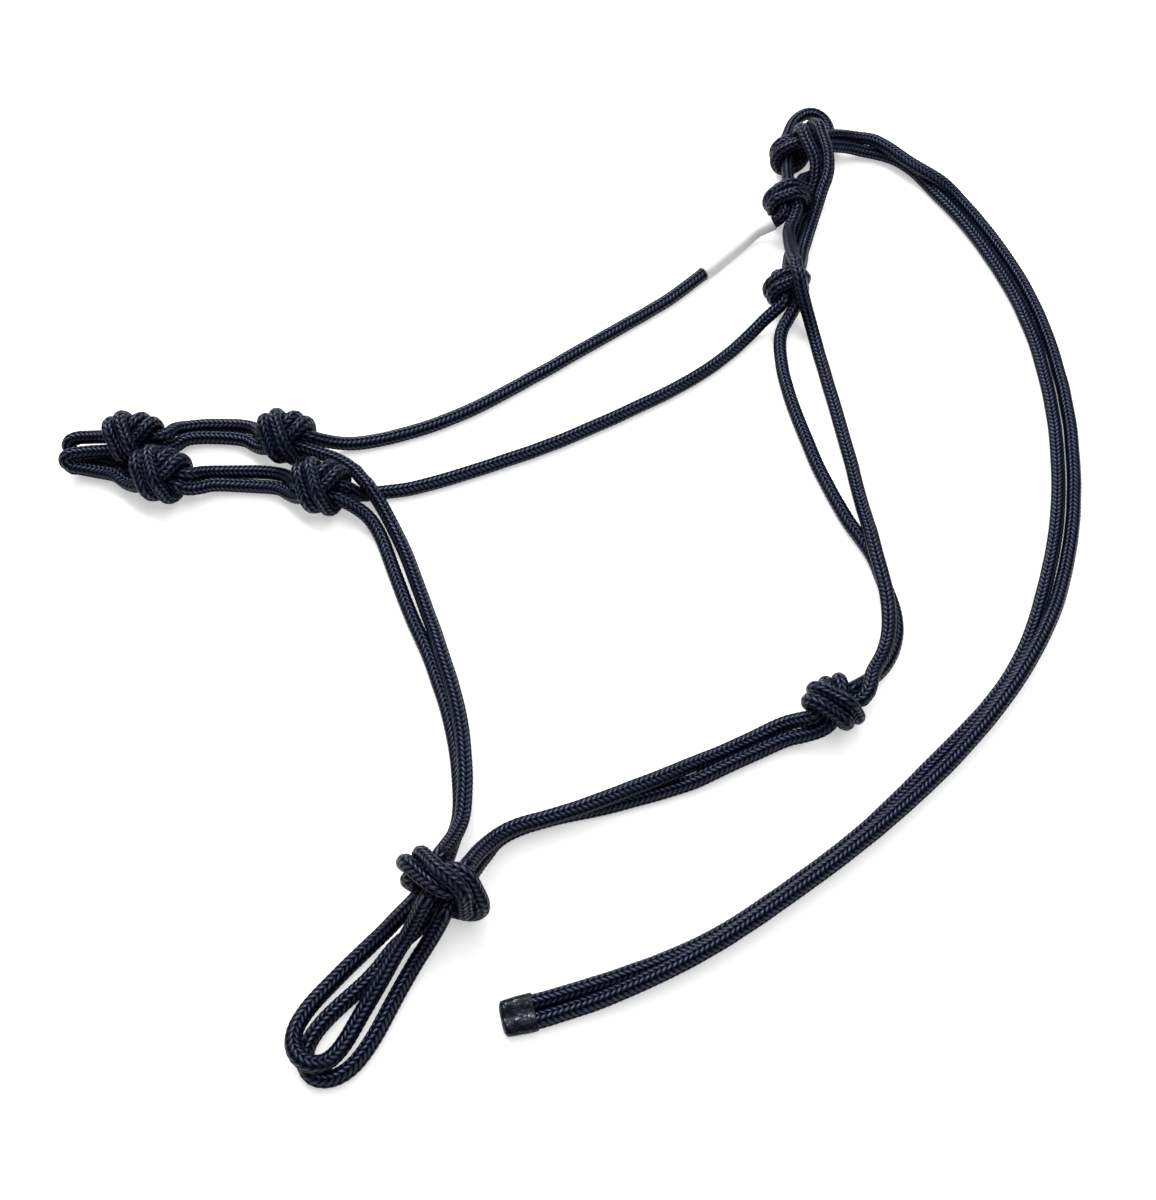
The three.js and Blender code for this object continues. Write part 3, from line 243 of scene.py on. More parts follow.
-13573,3627,1906 -13518,3679,1714 -13441,3664,1529 -13344,3590,1370 -13232,3470,1266 -13099,3334,1232
-12940,3241,1248 -12774,3172,1204 -12614,3087,1174 -12453,2994,1194 -12254,2952,1202 -12092,2938,1128
-11950,2961,1029 -11808,2979,937 -11666,2998,848 -11523,3016,764 -11382,3031,687 -11227,3046,615
-11055,3062,550 -10869,3081,492 -10672,3103,444 -10466,3129,406 -10256,3161,378 -10044,3196,358
-9830,3236,346 -9616,3280,340 -9402,3328,338 -9189,3380,338 -8977,3435,338 -8766,3493,338
-8555,3555,338 -8345,3620,338 -8137,3688,338 -7929,3759,338 -7723,3833,338 -7518,3911,338
-7313,3992,338 -7110,4075,338 -6909,4161,338 -6708,4250,338 -6508,4340,338 -6309,4434,338
-6112,4529,338 -5915,4627,338 -5720,4728,338 -5527,4831,338 -5335,4937,338 -5144,5046,338
-4955,5157,338 -4767,5270,338 -4580,5386,338 -4395,5504,338 -4212,5624,338 -4029,5745,338
-3848,5868,338 -3667,5993,338 -3487,6118,338 -3307,6244,338 -3128,6371,338 -2949,6497,338
-2770,6624,338 -2591,6751,338 -2412,6879,338 -2233,7006,338 -2054,7133,338 -1876,7260,338
-1697,7388,338 -1518,7515,338 -1340,7644,338 -1162,7772,338 -985,7902,338 -809,8033,338
-634,8164,338 -459,8296,339 -284,8428,340 -108,8560,341 68,8691,341 244,8821,340
422,8951,340 599,9081,339 777,9210,339 954,9340,338 1131,9470,338 1308,9600,338
1484,9730,338 1661,9860,338 1838,9990,338 2015,10120,338 2192,10250,338 2369,10380,338
2546,10510,338 2723,10640,338 2900,10770,338 3077,10900,338 3253,11031,338 3429,11162,338
3605,11294,338 3780,11427,338 3954,11561,338 4128,11696,338 4299,11833,338 4469,11972,338
4638,12113,338 4804,12255,340 4970,12400,345 5133,12546,351 5295,12694,358 5456,12843,366
5616,12993,374 5774,13144,382 5933,13295,389 6091,13448,395 6249,13600,399 6407,13752,400
6565,13905,400 6722,14058,400 6878,14213,400 7034,14368,400 7188,14524,400 7341,14680,401
7493,14836,402 7645,14993,403 7797,15149,405 7947,15305,409 8097,15460,414 8246,15612,421
8393,15763,431 8538,15910,445 8682,16052,464 8825,16188,489 8966,16316,519 9107,16432,555
9251,16532,595 9399,16615,638 9551,16677,683 9707,16721,733 9856,16758,796 10001,16788,871
10141,16813,957 10277,16829,1053 10407,16862,1159 10519,16940,1266 10603,17063,1361 10647,17220,1434
10626,17457,1447 10578,17627,1440 10524,17794,1392 10482,17960,1341 10433,18132,1326 10339,18282,1276
10259,18410,1158 10226,18509,997 10247,18580,815 10326,18619,639 10458,18628,488 10626,18608,385
10814,18562,338 10997,18497,355 11162,18426,433 11323,18356,515 11487,18289,599 11645,18222,687
11761,18144,824 11817,18066,991 11809,17994,1174 11754,17940,1353 11699,17884,1535 11646,17839,1718
11569,17797,1897 11440,17753,2037 11271,17706,2123 11085,17661,2144 10901,17622,2097 10721,17583,2045
10539,17543,1993 10359,17503,1941 10204,17471,1827 10096,17449,1667 10046,17437,1475 10062,17436,1277
10140,17448,1093 10270,17474,947 10436,17521,852 10614,17580,820 10785,17656,853 10932,17746,920
11063,17862,977 11187,17983,1029 11245,18134,1109 11306,18280,1189 11351,18424,1293 11355,18567,1403
11415,18722,1475 11456,18888,1499 11613,19056,1476 11670,19238,1378 11733,19416,1286 11796,19594,1193
11862,19774,1095 11987,19931,1006 12129,20071,929 12268,20214,845 12414,20368,773 12564,20536,715
12713,20720,671 12856,20920,639 12986,21135,618 13105,21360,602 13212,21592,587 13308,21828,572
13391,22065,550 13460,22304,529 13526,22536,540 13585,22758,552 13630,22976,556 13664,23191,564
13694,23395,591 13710,23594,614 13714,23786,641 13704,23971,673 13678,24148,710 13633,24313,753
13567,24466,802 13476,24602,855 13355,24720,909 13205,24813,960 13028,24877,1003 12832,24905,1032
12631,24893,1044 12439,24840,1040 12263,24752,1027 12104,24637,1011 11961,24499,995 11836,24342,980
11726,24170,967 11630,23986,958 11547,23792,950 11474,23590,945 11407,23383,942 11339,23173,940
11236,22973,937 11189,22735,949 11181,22498,954 11222,22284,909 11254,22010,925 11227,21777,938
11218,21562,952 11218,21322,973 11175,21107,965 11157,20900,968 11150,20700,982 11141,20500,993
11133,20301,1005 11125,20104,1019 11117,19908,1032 11110,19713,1047 11104,19519,1062 11096,19325,1076
11099,19147,1105 11049,18890,1057 10993,18737,981 10902,18592,937 10807,18443,914 10748,18293,840
10631,18177,757 10471,18090,724 10293,18023,757 10130,17976,850 9998,17950,998 9920,17938,1179
9901,17943,1380 9946,17962,1570 10052,17992,1733 10199,18035,1847 10358,18081,1948 10514,18126,2047
10674,18172,2148 10854,18214,2197 11044,18255,2177 11218,18284,2096 11387,18309,1994 11554,18333,1895
11724,18351,1792 11850,18384,1646 11922,18439,1470 11929,18508,1289 11872,18589,1120 11761,18663,981
11641,18735,844 11523,18806,709 11397,18876,575 11235,18946,497 11049,19011,482 10863,19056,530
10694,19075,637 10566,19065,787 10488,19024,966 10472,18952,1144 10513,18856,1308 10601,18740,1427
10712,18607,1502 10799,18457,1559 10882,18302,1614 10936,18133,1615 11006,17966,1614 11085,17807,1576
11142,17637,1553 11183,17467,1574 11263,17294,1548 11267,17109,1502 11216,16938,1452 11161,16766,1407
11084,16600,1365 11008,16428,1332 10925,16251,1306 10858,16071,1295 10810,15891,1303 10777,15709,1328
10753,15525,1366 10736,15338,1416 10722,15148,1474 10708,14954,1539 10696,14757,1609 10684,14556,1684
10674,14354,1763 10665,14150,1845 10658,13944,1929 10651,13736,2015 10647,13526,2102 10644,13316,2191
10642,13106,2282 10645,12897,2376 10655,12703,2487 10670,12497,2594 10675,12280,2624 10671,12091,2599
10686,11909,2603 10715,11727,2606 10754,11549,2556 10800,11391,2449 10846,11269,2291 10903,11150,2130
10966,11025,1968 11030,10902,1809 11092,10782,1655 11151,10666,1508 11209,10550,1368 11267,10430,1235
11326,10305,1108 11385,10168,987 11444,10019,872 11502,9856,764 11556,9684,668 11603,9511,590
11643,9339,531 11678,9165,488 11709,8988,458 11738,8806,437 11768,8616,422 11799,8418,410
11831,8214,399 11864,8003,390 11898,7789,381 11930,7574,374 11962,7358,368 11993,7142,364
12023,6927,360 12052,6711,358 12082,6496,356 12112,6281,354 12144,6065,353 12175,5848,352
12206,5631,351 12238,5414,350 12268,5196,350 12298,4978,349 12326,4761,349 12354,4543,349
12381,4324,349 12408,4106,349 12436,3887,350 12463,3668,351 12491,3449,353 12519,3229,355
12547,3009,358 12574,2788,362 12602,2568,366 12628,2346,371 12653,2124,377 12677,1901,384
12699,1676,391 12719,1449,399 12738,1222,408 12755,995,420 12771,768,435 12786,543,454
12802,321,479 12817,101,508 12833,-117,542 12850,-335,579 12866,-554,617 12883,-776,658
12901,-999,699 12919,-1225,741 12938,-1451,784 12957,-1677,829 12980,-1899,880 12999,-2121,923
13016,-2340,952 13032,-2556,965 13051,-2765,974 13071,-2972,980 13092,-3175,985 13113,-3379,991
13135,-3583,996 13158,-3789,999 13182,-3998,1000 13207,-4210,999 13232,-4425,996 13256,-4641,992
13278,-4857,987 13296,-5073,982 13309,-5288,977 13317,-5502,973 13320,-5717,968 13316,-5934,964
13306,-6153,959 13289,-6374,953 13266,-6596,948 13235,-6817,945 13196,-7037,944 13150,-7254,946
13094,-7467,951 13028,-7678,958 12952,-7885,968 12863,-8088,981 12764,-8288,996 12654,-8482,1016
12537,-8671,1040 12420,-8852,1072 12314,-9029,1111 12230,-9202,1154 12170,-9376,1194 12124,-9552,1223
12064,-9727,1245 12000,-9901,1263 11921,-10073,1275 11798,-10217,1262 11675,-10358,1247 11490,-10427,1203
11332,-10516,1188 11156,-10566,1144 11010,-10620,1038 10840,-10655,960 10666,-10693,911 10490,-10737,860
10303,-10734,872 10112,-10722,884 9927,-10677,900 9748,-10623,959 9599,-10582,1079 9489,-10568,1248
9434,-10582,1441 9437,-10630,1641 9494,-10710,1818 9601,-10816,1955 9742,-10932,2033 9906,-11046,2047
10070,-11140,1995 10237,-11235,1943 10400,-11330,1890 10566,-11424,1832 10713,-11484,1716 10829,-11504,1553
10898,-11480,1367 10918,-11411,1176 10923,-11324,995 10939,-11231,815 10955,-11140,638 10950,-11008,485
10914,-10844,382 10849,-10659,338 10765,-10482,359 10678,-10302,385 10596,-10124,411 10514,-9944,444
10436,-9786,539 10363,-9668,688 10303,-9608,871 10261,-9610,1072 10240,-9674,1261 10236,-9797,1420
10239,-9961,1526 10236,-10152,1566 10203,-10336,1537 10112,-10496,1500 10032,-10662,1498 9959,-10835,1485
9866,-10988,1441 9716,-11146,1372 9571,-11202,1271 9422,-11199,1164 9278,-11184,1063 9133,-11176,967
8985,-11173,877 8834,-11174,796 8684,-11188,723 8524,-11216,654 8355,-11257,592 8178,-11314,536
7997,-11385,488 7812,-11465,448 7625,-11551,417 7437,-11641,393 7248,-11734,376 7056,-11827,364
6862,-11921,357 6665,-12017,355 6466,-12113,358 6264,-12210,364 6061,-12307,375 5856,-12403,389
5650,-12501,408 5444,-12598,431 5237,-12696,460 5029,-12795,495 4824,-12900,536 4615,-12998,583
4408,-13103,631 4202,-13210,678 4000,-13320,718 3796,-13422,759 3593,-13523,793 3391,-13621,821
3188,-13715,845 2986,-13805,863 2782,-13891,879 2579,-13975,893 2376,-14058,907 2175,-14142,920
1975,-14228,933 1777,-14315,944 1578,-14402,954 1378,-14487,962 1176,-14571,968 974,-14653,972
771,-14734,975 568,-14814,977 363,-14892,977 158,-14966,975 -50,-15037,974 -260,-15105,974
-470,-15171,973 -680,-15237,974 -890,-15304,974 -1101,-15372,977 -1312,-15437,982 -1524,-15500,992
-1736,-15564,1005 -1946,-15630,1023 -2154,-15706,1042 -2356,-15794,1064 -2550,-15895,1090 -2735,-16007,1119
-2905,-16129,1155 -3058,-16254,1200 -3189,-16378,1255 -3294,-16496,1321 -3377,-16608,1399 -3460,-16725,1486
-3537,-16844,1581 -3610,-16964,1684 -3679,-17087,1792 -3744,-17211,1906 -3805,-17337,2023 -3863,-17464,2142
-3919,-17592,2263 -3974,-17721,2385 -4028,-17850,2507 -4122,-18028,2503 -4215,-18204,2499 -4302,-18384,2525
-4360,-18555,2615 -4450,-18703,2725 -4578,-18813,2840 -4735,-18860,2974 -4912,-18833,3089 -5102,-18752,3160
-5284,-18636,3167 -5453,-18501,3139 -5617,-18364,3113 -5778,-18218,3090 -5933,-18073,3058 -6073,-17927,2979
-6183,-17807,2840 -6262,-17716,2661 -6320,-17655,2466 -6350,-17602,2260 -6341,-17564,2052 -6302,-17541,1842
-6201,-17524,1658 -6062,-17515,1496 -5925,-17515,1334 -5787,-17516,1170 -5651,-17516,1008 -5491,-17556,869
-5312,-17640,785 -5125,-17753,765 -4965,-17891,810 -4858,-18051,905 -4823,-18225,1012 -4834,-18386,1146
-4889,-18530,1280 -4968,-18704,1351 -5064,-18878,1354 -5163,-19054,1346 -5260,-19227,1339 -5376,-19301,1225
-5492,-19376,1113 -5610,-19452,1005 -5730,-19530,904 -5854,-19612,812 -5981,-19697,729 -6111,-19787,656
-6244,-19881,594 -6378,-19980,543 -6515,-20080,503 -6648,-20201,468 -6775,-20343,436 -6898,-20501,406
-7021,-20669,381 -7148,-20842,360 -7280,-21013,345 -7418,-21183,338 -7561,-21349,338 -7710,-21512,338
-7865,-21668,338 -8023,-21822,341 -8182,-21975,344 -8342,-22127,348 -8501,-22280,352 -8658,-22435,357
-8813,-22592,362 -8964,-22752,368 -9108,-22918,373 -9246,-23089,377 -9373,-23266,380 -9486,-23452,381
-9582,-23644,379 -9656,-23843,372 -9699,-24046,359 -9703,-24250,342 -9659,-24448,338 -9565,-24627,338
-9423,-24774,338 -9249,-24881,338 -9050,-24926,338 -8844,-24934,338 -8638,-24899,338 -8440,-24828,338
-8254,-24725,338 -8083,-24595,338 -7928,-24445,338 -7786,-24280,338 -7655,-24104,338 -7532,-23923,338
-7416,-23736,338 -7306,-23545,338 -7202,-23351,338 -7103,-23155,339 -7007,-22957,342 -6912,-22758,345
-6818,-22559,351 -6722,-22362,358 -6626,-22165,368 -6529,-21970,382 -6430,-21776,400 -6330,-21585,425
-6228,-21398,457 -6125,-21215,496 -6022,-21040,545 -5919,-20876,602 -5819,-20729,668 -5723,-20601,742
-5631,-20490,824 -5539,-20380,918 -5449,-20274,1021 -5361,-20170,1133 -5275,-20069,1253 -5192,-19969,1378
-5110,-19870,1508 -5031,-19772,1640 -4953,-19673,1776 -4877,-19574,1912 -4801,-19476,2049 -4713,-19298,2052
-4624,-19116,2055 -4526,-18943,2057 -4372,-18810,2044 -4179,-18741,2026 -3990,-18676,1960 -3829,-18608,1849
-3701,-18575,1682 -3641,-18556,1481 -3654,-18537,1267 -3736,-18506,1073 -3881,-18474,915 -4057,-18452,797
-4236,-18429,677 -4412,-18408,558 -4593,-18394,441 -4789,-18360,362 -4996,-18292,338 -5200,-18224,347
-5400,-18153,397 -5587,-18082,475 -5768,-18032,584 -5917,-18012,734 -6016,-18028,923 -6070,-18060,1124
-6114,-18095,1331 -6157,-18120,1536 -6200,-18140,1745 -6200,-18158,1956 -6127,-18176,2158 -5994,-18178,2323
-5818,-18142,2438 -5640,-18059,2497 -5458,-17961,2507 -5293,-17848,2477 -5175,-17684,2468 -5084,-17508,2466
-4992,-17328,2464 -4937,-17195,2342 -4882,-17061,2219 -4829,-16927,2099 -4776,-16791,1980 -4726,-16653,1864
-4677,-16513,1752 -4630,-16371,1644 -4585,-16227,1542 -4542,-16080,1446 -4501,-15932,1356 -4460,-15786,1271
-4423,-15619,1201 -4393,-15432,1142 -4373,-15227,1095 -4360,-15011,1060 -4355,-14789,1032 -4353,-14565,1009
-4353,-14340,990 -4354,-14117,974 -4359,-13893,960 -4368,-13671,948 -4382,-13448,938 -4401,-13226,929
-4423,-13005,920 -4446,-12784,913 -4470,-12564,905 -4495,-12345,897 -4523,-12126,889 -4553,-11908,881
-4588,-11691,872 -4626,-11475,863 -4668,-11260,854 -4712,-11045,844 -4758,-10830,835 -4807,-10616,826
-4858,-10402,818 -4913,-10190,809 -4972,-9979,800 -5034,-9769,792 -5098,-9559,784 -5165,-9350,776
-5234,-9140,768 -5304,-8930,761 -5376,-8719,754 -5447,-8507,748 -5520,-8294,742 -5592,-8081,733
-5665,-7868,719 -5735,-7659,700 -5802,-7456,674 -5863,-7259,640 -5924,-7070,599 -5988,-6885,553
-6056,-6700,509 -6126,-6506,471 -6199,-6304,441 -6276,-6094,419 -6355,-5880,403 -6435,-5665,391
-6516,-5449,382 -6596,-5235,376 -6675,-5023,370 -6753,-4813,366 -6830,-4604,362 -6907,-4396,359
-6983,-4189,357 -7060,-3982,355 -7138,-3776,355 -7217,-3570,355 -7297,-3365,356 -7379,-3160,357
-7464,-2957,360 -7550,-2755,362 -7639,-2555,366 -7730,-2357,371 -7822,-2161,378 -7915,-1968,387
-8010,-1777,399 -8104,-1589,415 -8199,-1405,435 -8294,-1225,461 -8389,-1050,492 -8484,-879,530
-8580,-715,574 -8677,-556,624 -8776,-402,680 -8878,-254,740 -8982,-109,805 -9089,33,876
-9198,184,944 -9314,359,978 -9445,540,961 -9587,709,927 -9727,887,904 -9864,1067,884
-10002,1250,866 -10179,1382,869 -10346,1519,871 -10518,1646,875 -10693,1760,880 -10869,1861,885
-11046,1946,891 -11220,2017,898 -11393,2075,906 -11565,2130,924 -11736,2181,949 -11907,2230,981
-12077,2276,1017 -12247,2320,1057 -12416,2370,1100 -12592,2407,1095 -12755,2497,1081 -12897,2589,999
-13046,2699,955 -13201,2798,938 -13360,2895,919 -13500,3008,975 -13636,3130,1036 -13747,3271,1109
-13849,3399,1224 -13939,3474,1384 -14016,3488,1572 -14071,3438,1761 -14104,3324,1932 -14116,3162,2058
-14107,2966,2127 -14076,2765,2131 -14026,2576,2068 -13960,2426,1951 -13894,2273,1833 -13830,2123,1715
-13764,1975,1591 -13689,1885,1429 -13610,1861,1243 -13538,1907,1060 -13474,2019,899 -13410,2148,756
-13335,2276,614 -13261,2400,474 -13177,2557,374 -13097,2738,338 -13028,2929,371 -12978,3103,466
-12930,3277,568 -12879,3447,668 -12826,3616,776 -12787,3742,932 -12771,3815,1126 -12781,3826,1330
-12819,3773,1527 -12880,3667,1689 -12965,3519,1800 -13070,3357,1846 -13195,3205,1823 -13337,3103,1746
-13506,3058,1682 -13672,2987,1647 -13838,2912,1598 -14004,2874,1530 -14188,2890,1446 -14302,2950,1326
-14387,3050,1211 -14436,3171,1103 -14497,3283,997 -14563,3391,896 -14635,3496,802 -14714,3600,718
-14801,3699,644 -14893,3796,580 -14983,3891,527 -15106,3975,485 -15262,4045,455 -15446,4099,433
-15649,4139,417 -15863,4165,404 -16081,4180,395 -16301,4188,390 -16520,4190,390 -16738,4185,395
-16954,4174,407 -17167,4154,423 -17377,4126,445 -17584,4086,473 -17786,4036,506 -17978,3976,547
-18157,3910,596 -18313,3840,654 -18434,3759,716 -18521,3679,783 -18572,3591,851 -18622,3489,923
-18656,3366,987 -18699,3235,1051 -18779,3109,1111 -18895,3003,1163 -19044,2926,1199 -19214,2897,1220
-19411,2928,1206 -19577,3011,1190 -19742,3085,1223 -19912,3142,1270 -20076,3226,1258 -20217,3352,1298
-20336,3460,1407 -20438,3521,1569 -20515,3522,1754 -20568,3459,1943 -20594,3339,2107 -20593,3171,2231
-20565,2978,2295 -20514,2778,2294 -20443,2600,2233 -20366,2428,2155 -20290,2258,2078 -20214,2086,1999
-20137,1949,1874 -20060,1867,1704 -19997,1848,1513 -19940,1848,1315 -19885,1848,1120 -19834,1849,919
-19776,1914,736 -19707,2037,588 -19635,2202,497 -19563,2392,470 -19508,2584,505 -19457,2779,550
-19408,2971,593 -19360,3166,643 -19319,3332,755 -19287,3453,920 -19276,3516,1115 -19288,3515,1323
-19323,3450,1514 -19379,3329,1671 -19456,3171,1768 -19546,2993,1804 -19648,2827,1772 -19763,2686,1692
-19899,2573,1622 -20042,2463,1554 -20204,2415,1480 -20362,2361,1391 -20509,2336,1276 -20672,2308,1186
-20838,2250,1135 -21004,2210,1081 -21181,2209,1061 -21355,2213,1051 -21527,2212,1043 -21698,2206,1040
-21865,2196,1041 -22042,2177,1050 -22231,2148,1062 -22427,2110,1081 -22625,2066,1101 -22815,2027,1124
-22989,1952,1114 -23127,1882,1079 -23201,1786,1012 -23168,1693,910 -23053,1633,809 -22906,1559,695
-22722,1568,668 -22532,1549,632 -22334,1521,606 -22130,1484,588 -21921,1441,581 -21707,1393,584
-21491,1340,598 -21278,1281,622 -21073,1213,655 -20894,1124,697 -20744,1015,738 -20609,901,763
-20477,794,775 -20354,685,791 -20216,591,814 -20071,508,848 -19923,432,893 -19774,359,942
-19622,321,1020 -19473,283,1098 -19333,290,1208 -19163,338,1254 -18998,361,1341 -18848,384,1453
-18686,431,1537 -18520,472,1607 -18369,576,1666 -18223,683,1726 -18097,820,1794 -17982,980,1811
-17878,1146,1761 -17789,1289,1651 -17725,1392,1484 -17686,1437,1289 -17676,1420,1081 -17693,1342,892
-17735,1210,738 -17790,1039,640 -17854,845,607 -17919,655,580 -17986,461,552 -18056,272,534
-18143,91,576 -18227,-59,681 -18305,-163,839 -18367,-207,1027 -18416,-187,1227 -18470,-166,1421
-18525,-146,1618 -18585,-106,1808 -18654,-3,1970 -18719,150,2083 -18780,334,2147 -18842,514,2209
-18904,698,2272 -18961,886,2319 -18995,1089,2302 -19008,1277,2222 -18996,1433,2084 -18962,1537,1911
-18906,1579,1717 -18830,1557,1533 -18734,1474,1376 -18625,1347,1277 -18495,1208,1248 -18338,1112,1267
-18174,1038,1226 -18016,949,1198 -17856,854,1222 -17654,808,1234 -17478,818,1190 -17323,873,1122
-17201,958,1037 -17092,1045,951 -16981,1128,873 -16865,1198,797 -16750,1258,730 -16616,1313,668
-16459,1361,609 -16283,1403,556 -16093,1438,510 -15891,1467,471 -15684,1490,441 -15472,1506,418
-15258,1517,403 -15040,1523,393 -14822,1523,390 -14601,1518,391 -14381,1507,397 -14162,1487,407
-13947,1458,420 -13742,1416,437 -13552,1363,460 -13387,1297,493 -13251,1218,536 -13144,1129,592
-13035,1039,658 -12934,942,733 -12840,839,818 -12761,721,904 -12688,602,1000 -12620,481,1102
-12563,352,1207 -12472,240,1320 -12346,170,1437 -12156,153,1526 -11988,190,1592 -11822,263,1637
-11654,332,1669 -11483,377,1731 -11340,479,1804 -11212,629,1820 -11103,786,1767 -11015,928,1650
-10953,1027,1484 -10915,1071,1285 -10905,1052,1081 -10924,970,890 -10966,839,739 -11022,667,639
-11077,494,545 -11129,317,451 -11182,141,363 -11256,-50,338 -11339,-228,381 -11426,-379,488
-11502,-496,634 -11580,-616,781 -11645,-738,929 -11710,-841,1094 -11783,-879,1279 -11861,-846,1464
-11934,-748,1623 -11996,-594,1741 -12057,-438,1852 -12120,-279,1965 -12182,-123,2076 -12228,69,2131
-12254,271,2119 -12260,464,2042 -12246,620,1910 -12211,726,1734 -12156,768,1543 -12079,745,1355
-11991,661,1198 -11892,527,1088 -11785,380,1020 -11651,254,965 -11514,135,913 -11356,37,936
-11203,-65,956 -11056,-176,1004 -10916,-267,1089 -10754,-360,1107 -10580,-401,1113 -10438,-464,1062
-10294,-518,1012 -10152,-576,961 -10012,-637,909 -9874,-702,857 -9740,-773,806 -9607,-848,759
-9474,-935,710 -9342,-1038,661 -9215,-1158,612 -9094,-1293,566 -8982,-1443,524 -8877,-1605,487
-8779,-1775,456 -8686,-1954,431 -8598,-2139,411 -8513,-2330,395 -8431,-2524,383 -8352,-2722,374
-8274,-2921,367 -8196,-3123,361 -8120,-3325,357 -8044,-3529,354 -7967,-3732,351 -7890,-3936,349
-7811,-4140,347 -7732,-4343,346 -7652,-4546,345 -7570,-4750,344 -7488,-4952,343 -7406,-5156,342
-7324,-5358,341 -7242,-5561,340 -7159,-5764,340 -7075,-5966,339 -6988,-6167,339 -6898,-6367,339
-6805,-6566,339 -6711,-6764,339 -6616,-6962,338 -6526,-7163,338 -6434,-7362,338 -6342,-7560,338
-6255,-7761,338 -6171,-7962,338 -6090,-8165,338 -6011,-8370,338 -5935,-8575,338 -5860,-8781,338
-5785,-8988,338 -5710,-9194,338 -5634,-9400,338 -5560,-9606,339 -5486,-9813,339 -5415,-10020,339
-5348,-10229,339 -5284,-10439,339 -5223,-10649,339 -5163,-10860,338 -5105,-11072,338 -5048,-11283,338
-4994,-11496,338 -4943,-11709,338 -4896,-11924,339 -4853,-12139,340 -4814,-12356,341 -4778,-12573,343
-4745,-12790,346 -4713,-13009,349 -4684,-13227,352 -4657,-13447,357 -4632,-13666,362 -4609,-13887,369
-4588,-14108,377 -4571,-14330,388 -4558,-14552,402 -4550,-14774,420 -4552,-14992,444 -4564,-15206,475
-4586,-15410,515 -4617,-15602,565 -4654,-15783,625 -4688,-15964,693 -4721,-16143,765 -4755,-16320,843
-4789,-16495,926 -4823,-16669,1013 -4856,-16840,1104 -4890,-17010,1198 -4924,-17179,1293 -4957,-17347,1390
-5055,-17523,1394 -5151,-17697,1398 -5255,-17869,1372 -5366,-18011,1282 -5440,-18167,1172 -5462,-18335,1057
-5416,-18491,923 -5296,-18625,808 -5124,-18740,737 -4928,-18829,730 -4722,-18896,758 -4518,-18959,784
-4308,-19014,807 -4102,-19064,840 -3903,-19102,919 -3742,-19128,1057 -3624,-19144,1237 -3540,-19160,1431
-3479,-19156,1638 -3453,-19128,1845 -3454,-19082,2055 -3495,-18988,2239 -3564,-18867,2402 -3639,-18752,2563
-3715,-18637,2727 -3790,-18524,2889 -3911,-18411,3028 -4079,-18307,3113 -4276,-18212,3132 -4478,-18154,3088
-4672,-18152,2992 -4836,-18218,2885 -4965,-18315,2752 -5055,-18440,2617 -5158,-18601,2546 -5251,-18777,2543
-5344,-18956,2551 -5436,-19132,2558 -5506,-19222,2445 -5576,-19312,2330 -5644,-19400,2215 -5712,-19486,2098
-5780,-19570,1980 -5846,-19653,1863 -5912,-19734,1747 -5980,-19816,1634 -6048,-19899,1527 -6118,-19985,1426
-6192,-20074,1333 -6267,-20168,1250 -6346,-20266,1177 -6425,-20364,1114 -6510,-20484,1057 -6600,-20626,1003
-6694,-20788,953 -6789,-20961,905 -6886,-21143,862 -6984,-21327,821 -7086,-21511,778 -7191,-21693,733
-7299,-21874,688 -7407,-22057,646 -7513,-22241,608 -7618,-22425,574 -7720,-22611,547 -7818,-22797,525
-7913,-22984,511 -8007,-23170,505 -8100,-23356,506 -8195,-23541,517 -8294,-23722,535 -8398,-23899,562
-8512,-24068,597 -8639,-24223,643 -8785,-24357,698 -8950,-24460,766 -9126,-24514,849 -9314,-24528,920
-9504,-24486,961 -9680,-24393,976 -9835,-24260,971 -9957,-24095,945 -10040,-23903,914 -10078,-23694,879
-10075,-23479,839 -10038,-23266,795 -9973,-23059,748 -9889,-22862,700 -9792,-22673,652 -9684,-22491,606
-9567,-22315,563 -9442,-22143,524 -9309,-21973,489 -9171,-21805,459 -9031,-21639,435 -8890,-21474,417
-8747,-21310,405 -8602,-21149,399 -8453,-20989,397 -8300,-20833,402 -8145,-20678,414 -7990,-20525,433
-7835,-20373,461 -7680,-20225,497 -7524,-20082,543 -7370,-19946,598 -7222,-19820,662 -7084,-19707,736
-6958,-19607,818 -6844,-19519,910 -6726,-19432,1010 -6608,-19348,1117 -6490,-19267,1230 -6371,-19188,1349
-6252,-19111,1470 -6133,-19034,1595 -6014,-18959,1721 -5895,-18883,1848 -5794,-18712,1845 -5691,-18539,1842
-5600,-18362,1840 -5573,-18160,1853 -5620,-17961,1872 -5670,-17767,1937 -5700,-17596,2048 -5742,-17470,2215
-5760,-17409,2417 -5737,-17410,2631 -5666,-17461,2824 -5560,-17566,2982 -5445,-17701,3100 -5328,-17838,3221
-5214,-17974,3339 -5103,-18118,3456 -4967,-18263,3536 -4798,-18400,3559 -4630,-18533,3550 -4460,-18662,3501
-4298,-18779,3422 -4158,-18903,3313 -4059,-19017,3163 -4018,-19109,2974 -4016,-19172,2773 -4021,-19228,2567
-4018,-19277,2361 -4012,-19324,2152 -4026,-19334,1941 -4082,-19282,1739 -4157,-19173,1574 -4223,-19006,1460
-4250,-18811,1400 -4267,-18605,1390 -4264,-18405,1420 -4191,-18217,1429 -4093,-18044,1431 -3993,-17869,1433
-3928,-17724,1329 -3863,-17578,1226 -3797,-17432,1126 -3730,-17286,1030 -3660,-17140,938 -3588,-16993,853
-3513,-16847,775 -3435,-16701,705 -3354,-16556,643 -3274,-16412,592 -3172,-16269,548 -3043,-16129,512
-2892,-15995,482 -2722,-15870,457 -2538,-15755,436 -2345,-15653,418 -2146,-15561,402 -1941,-15479,389
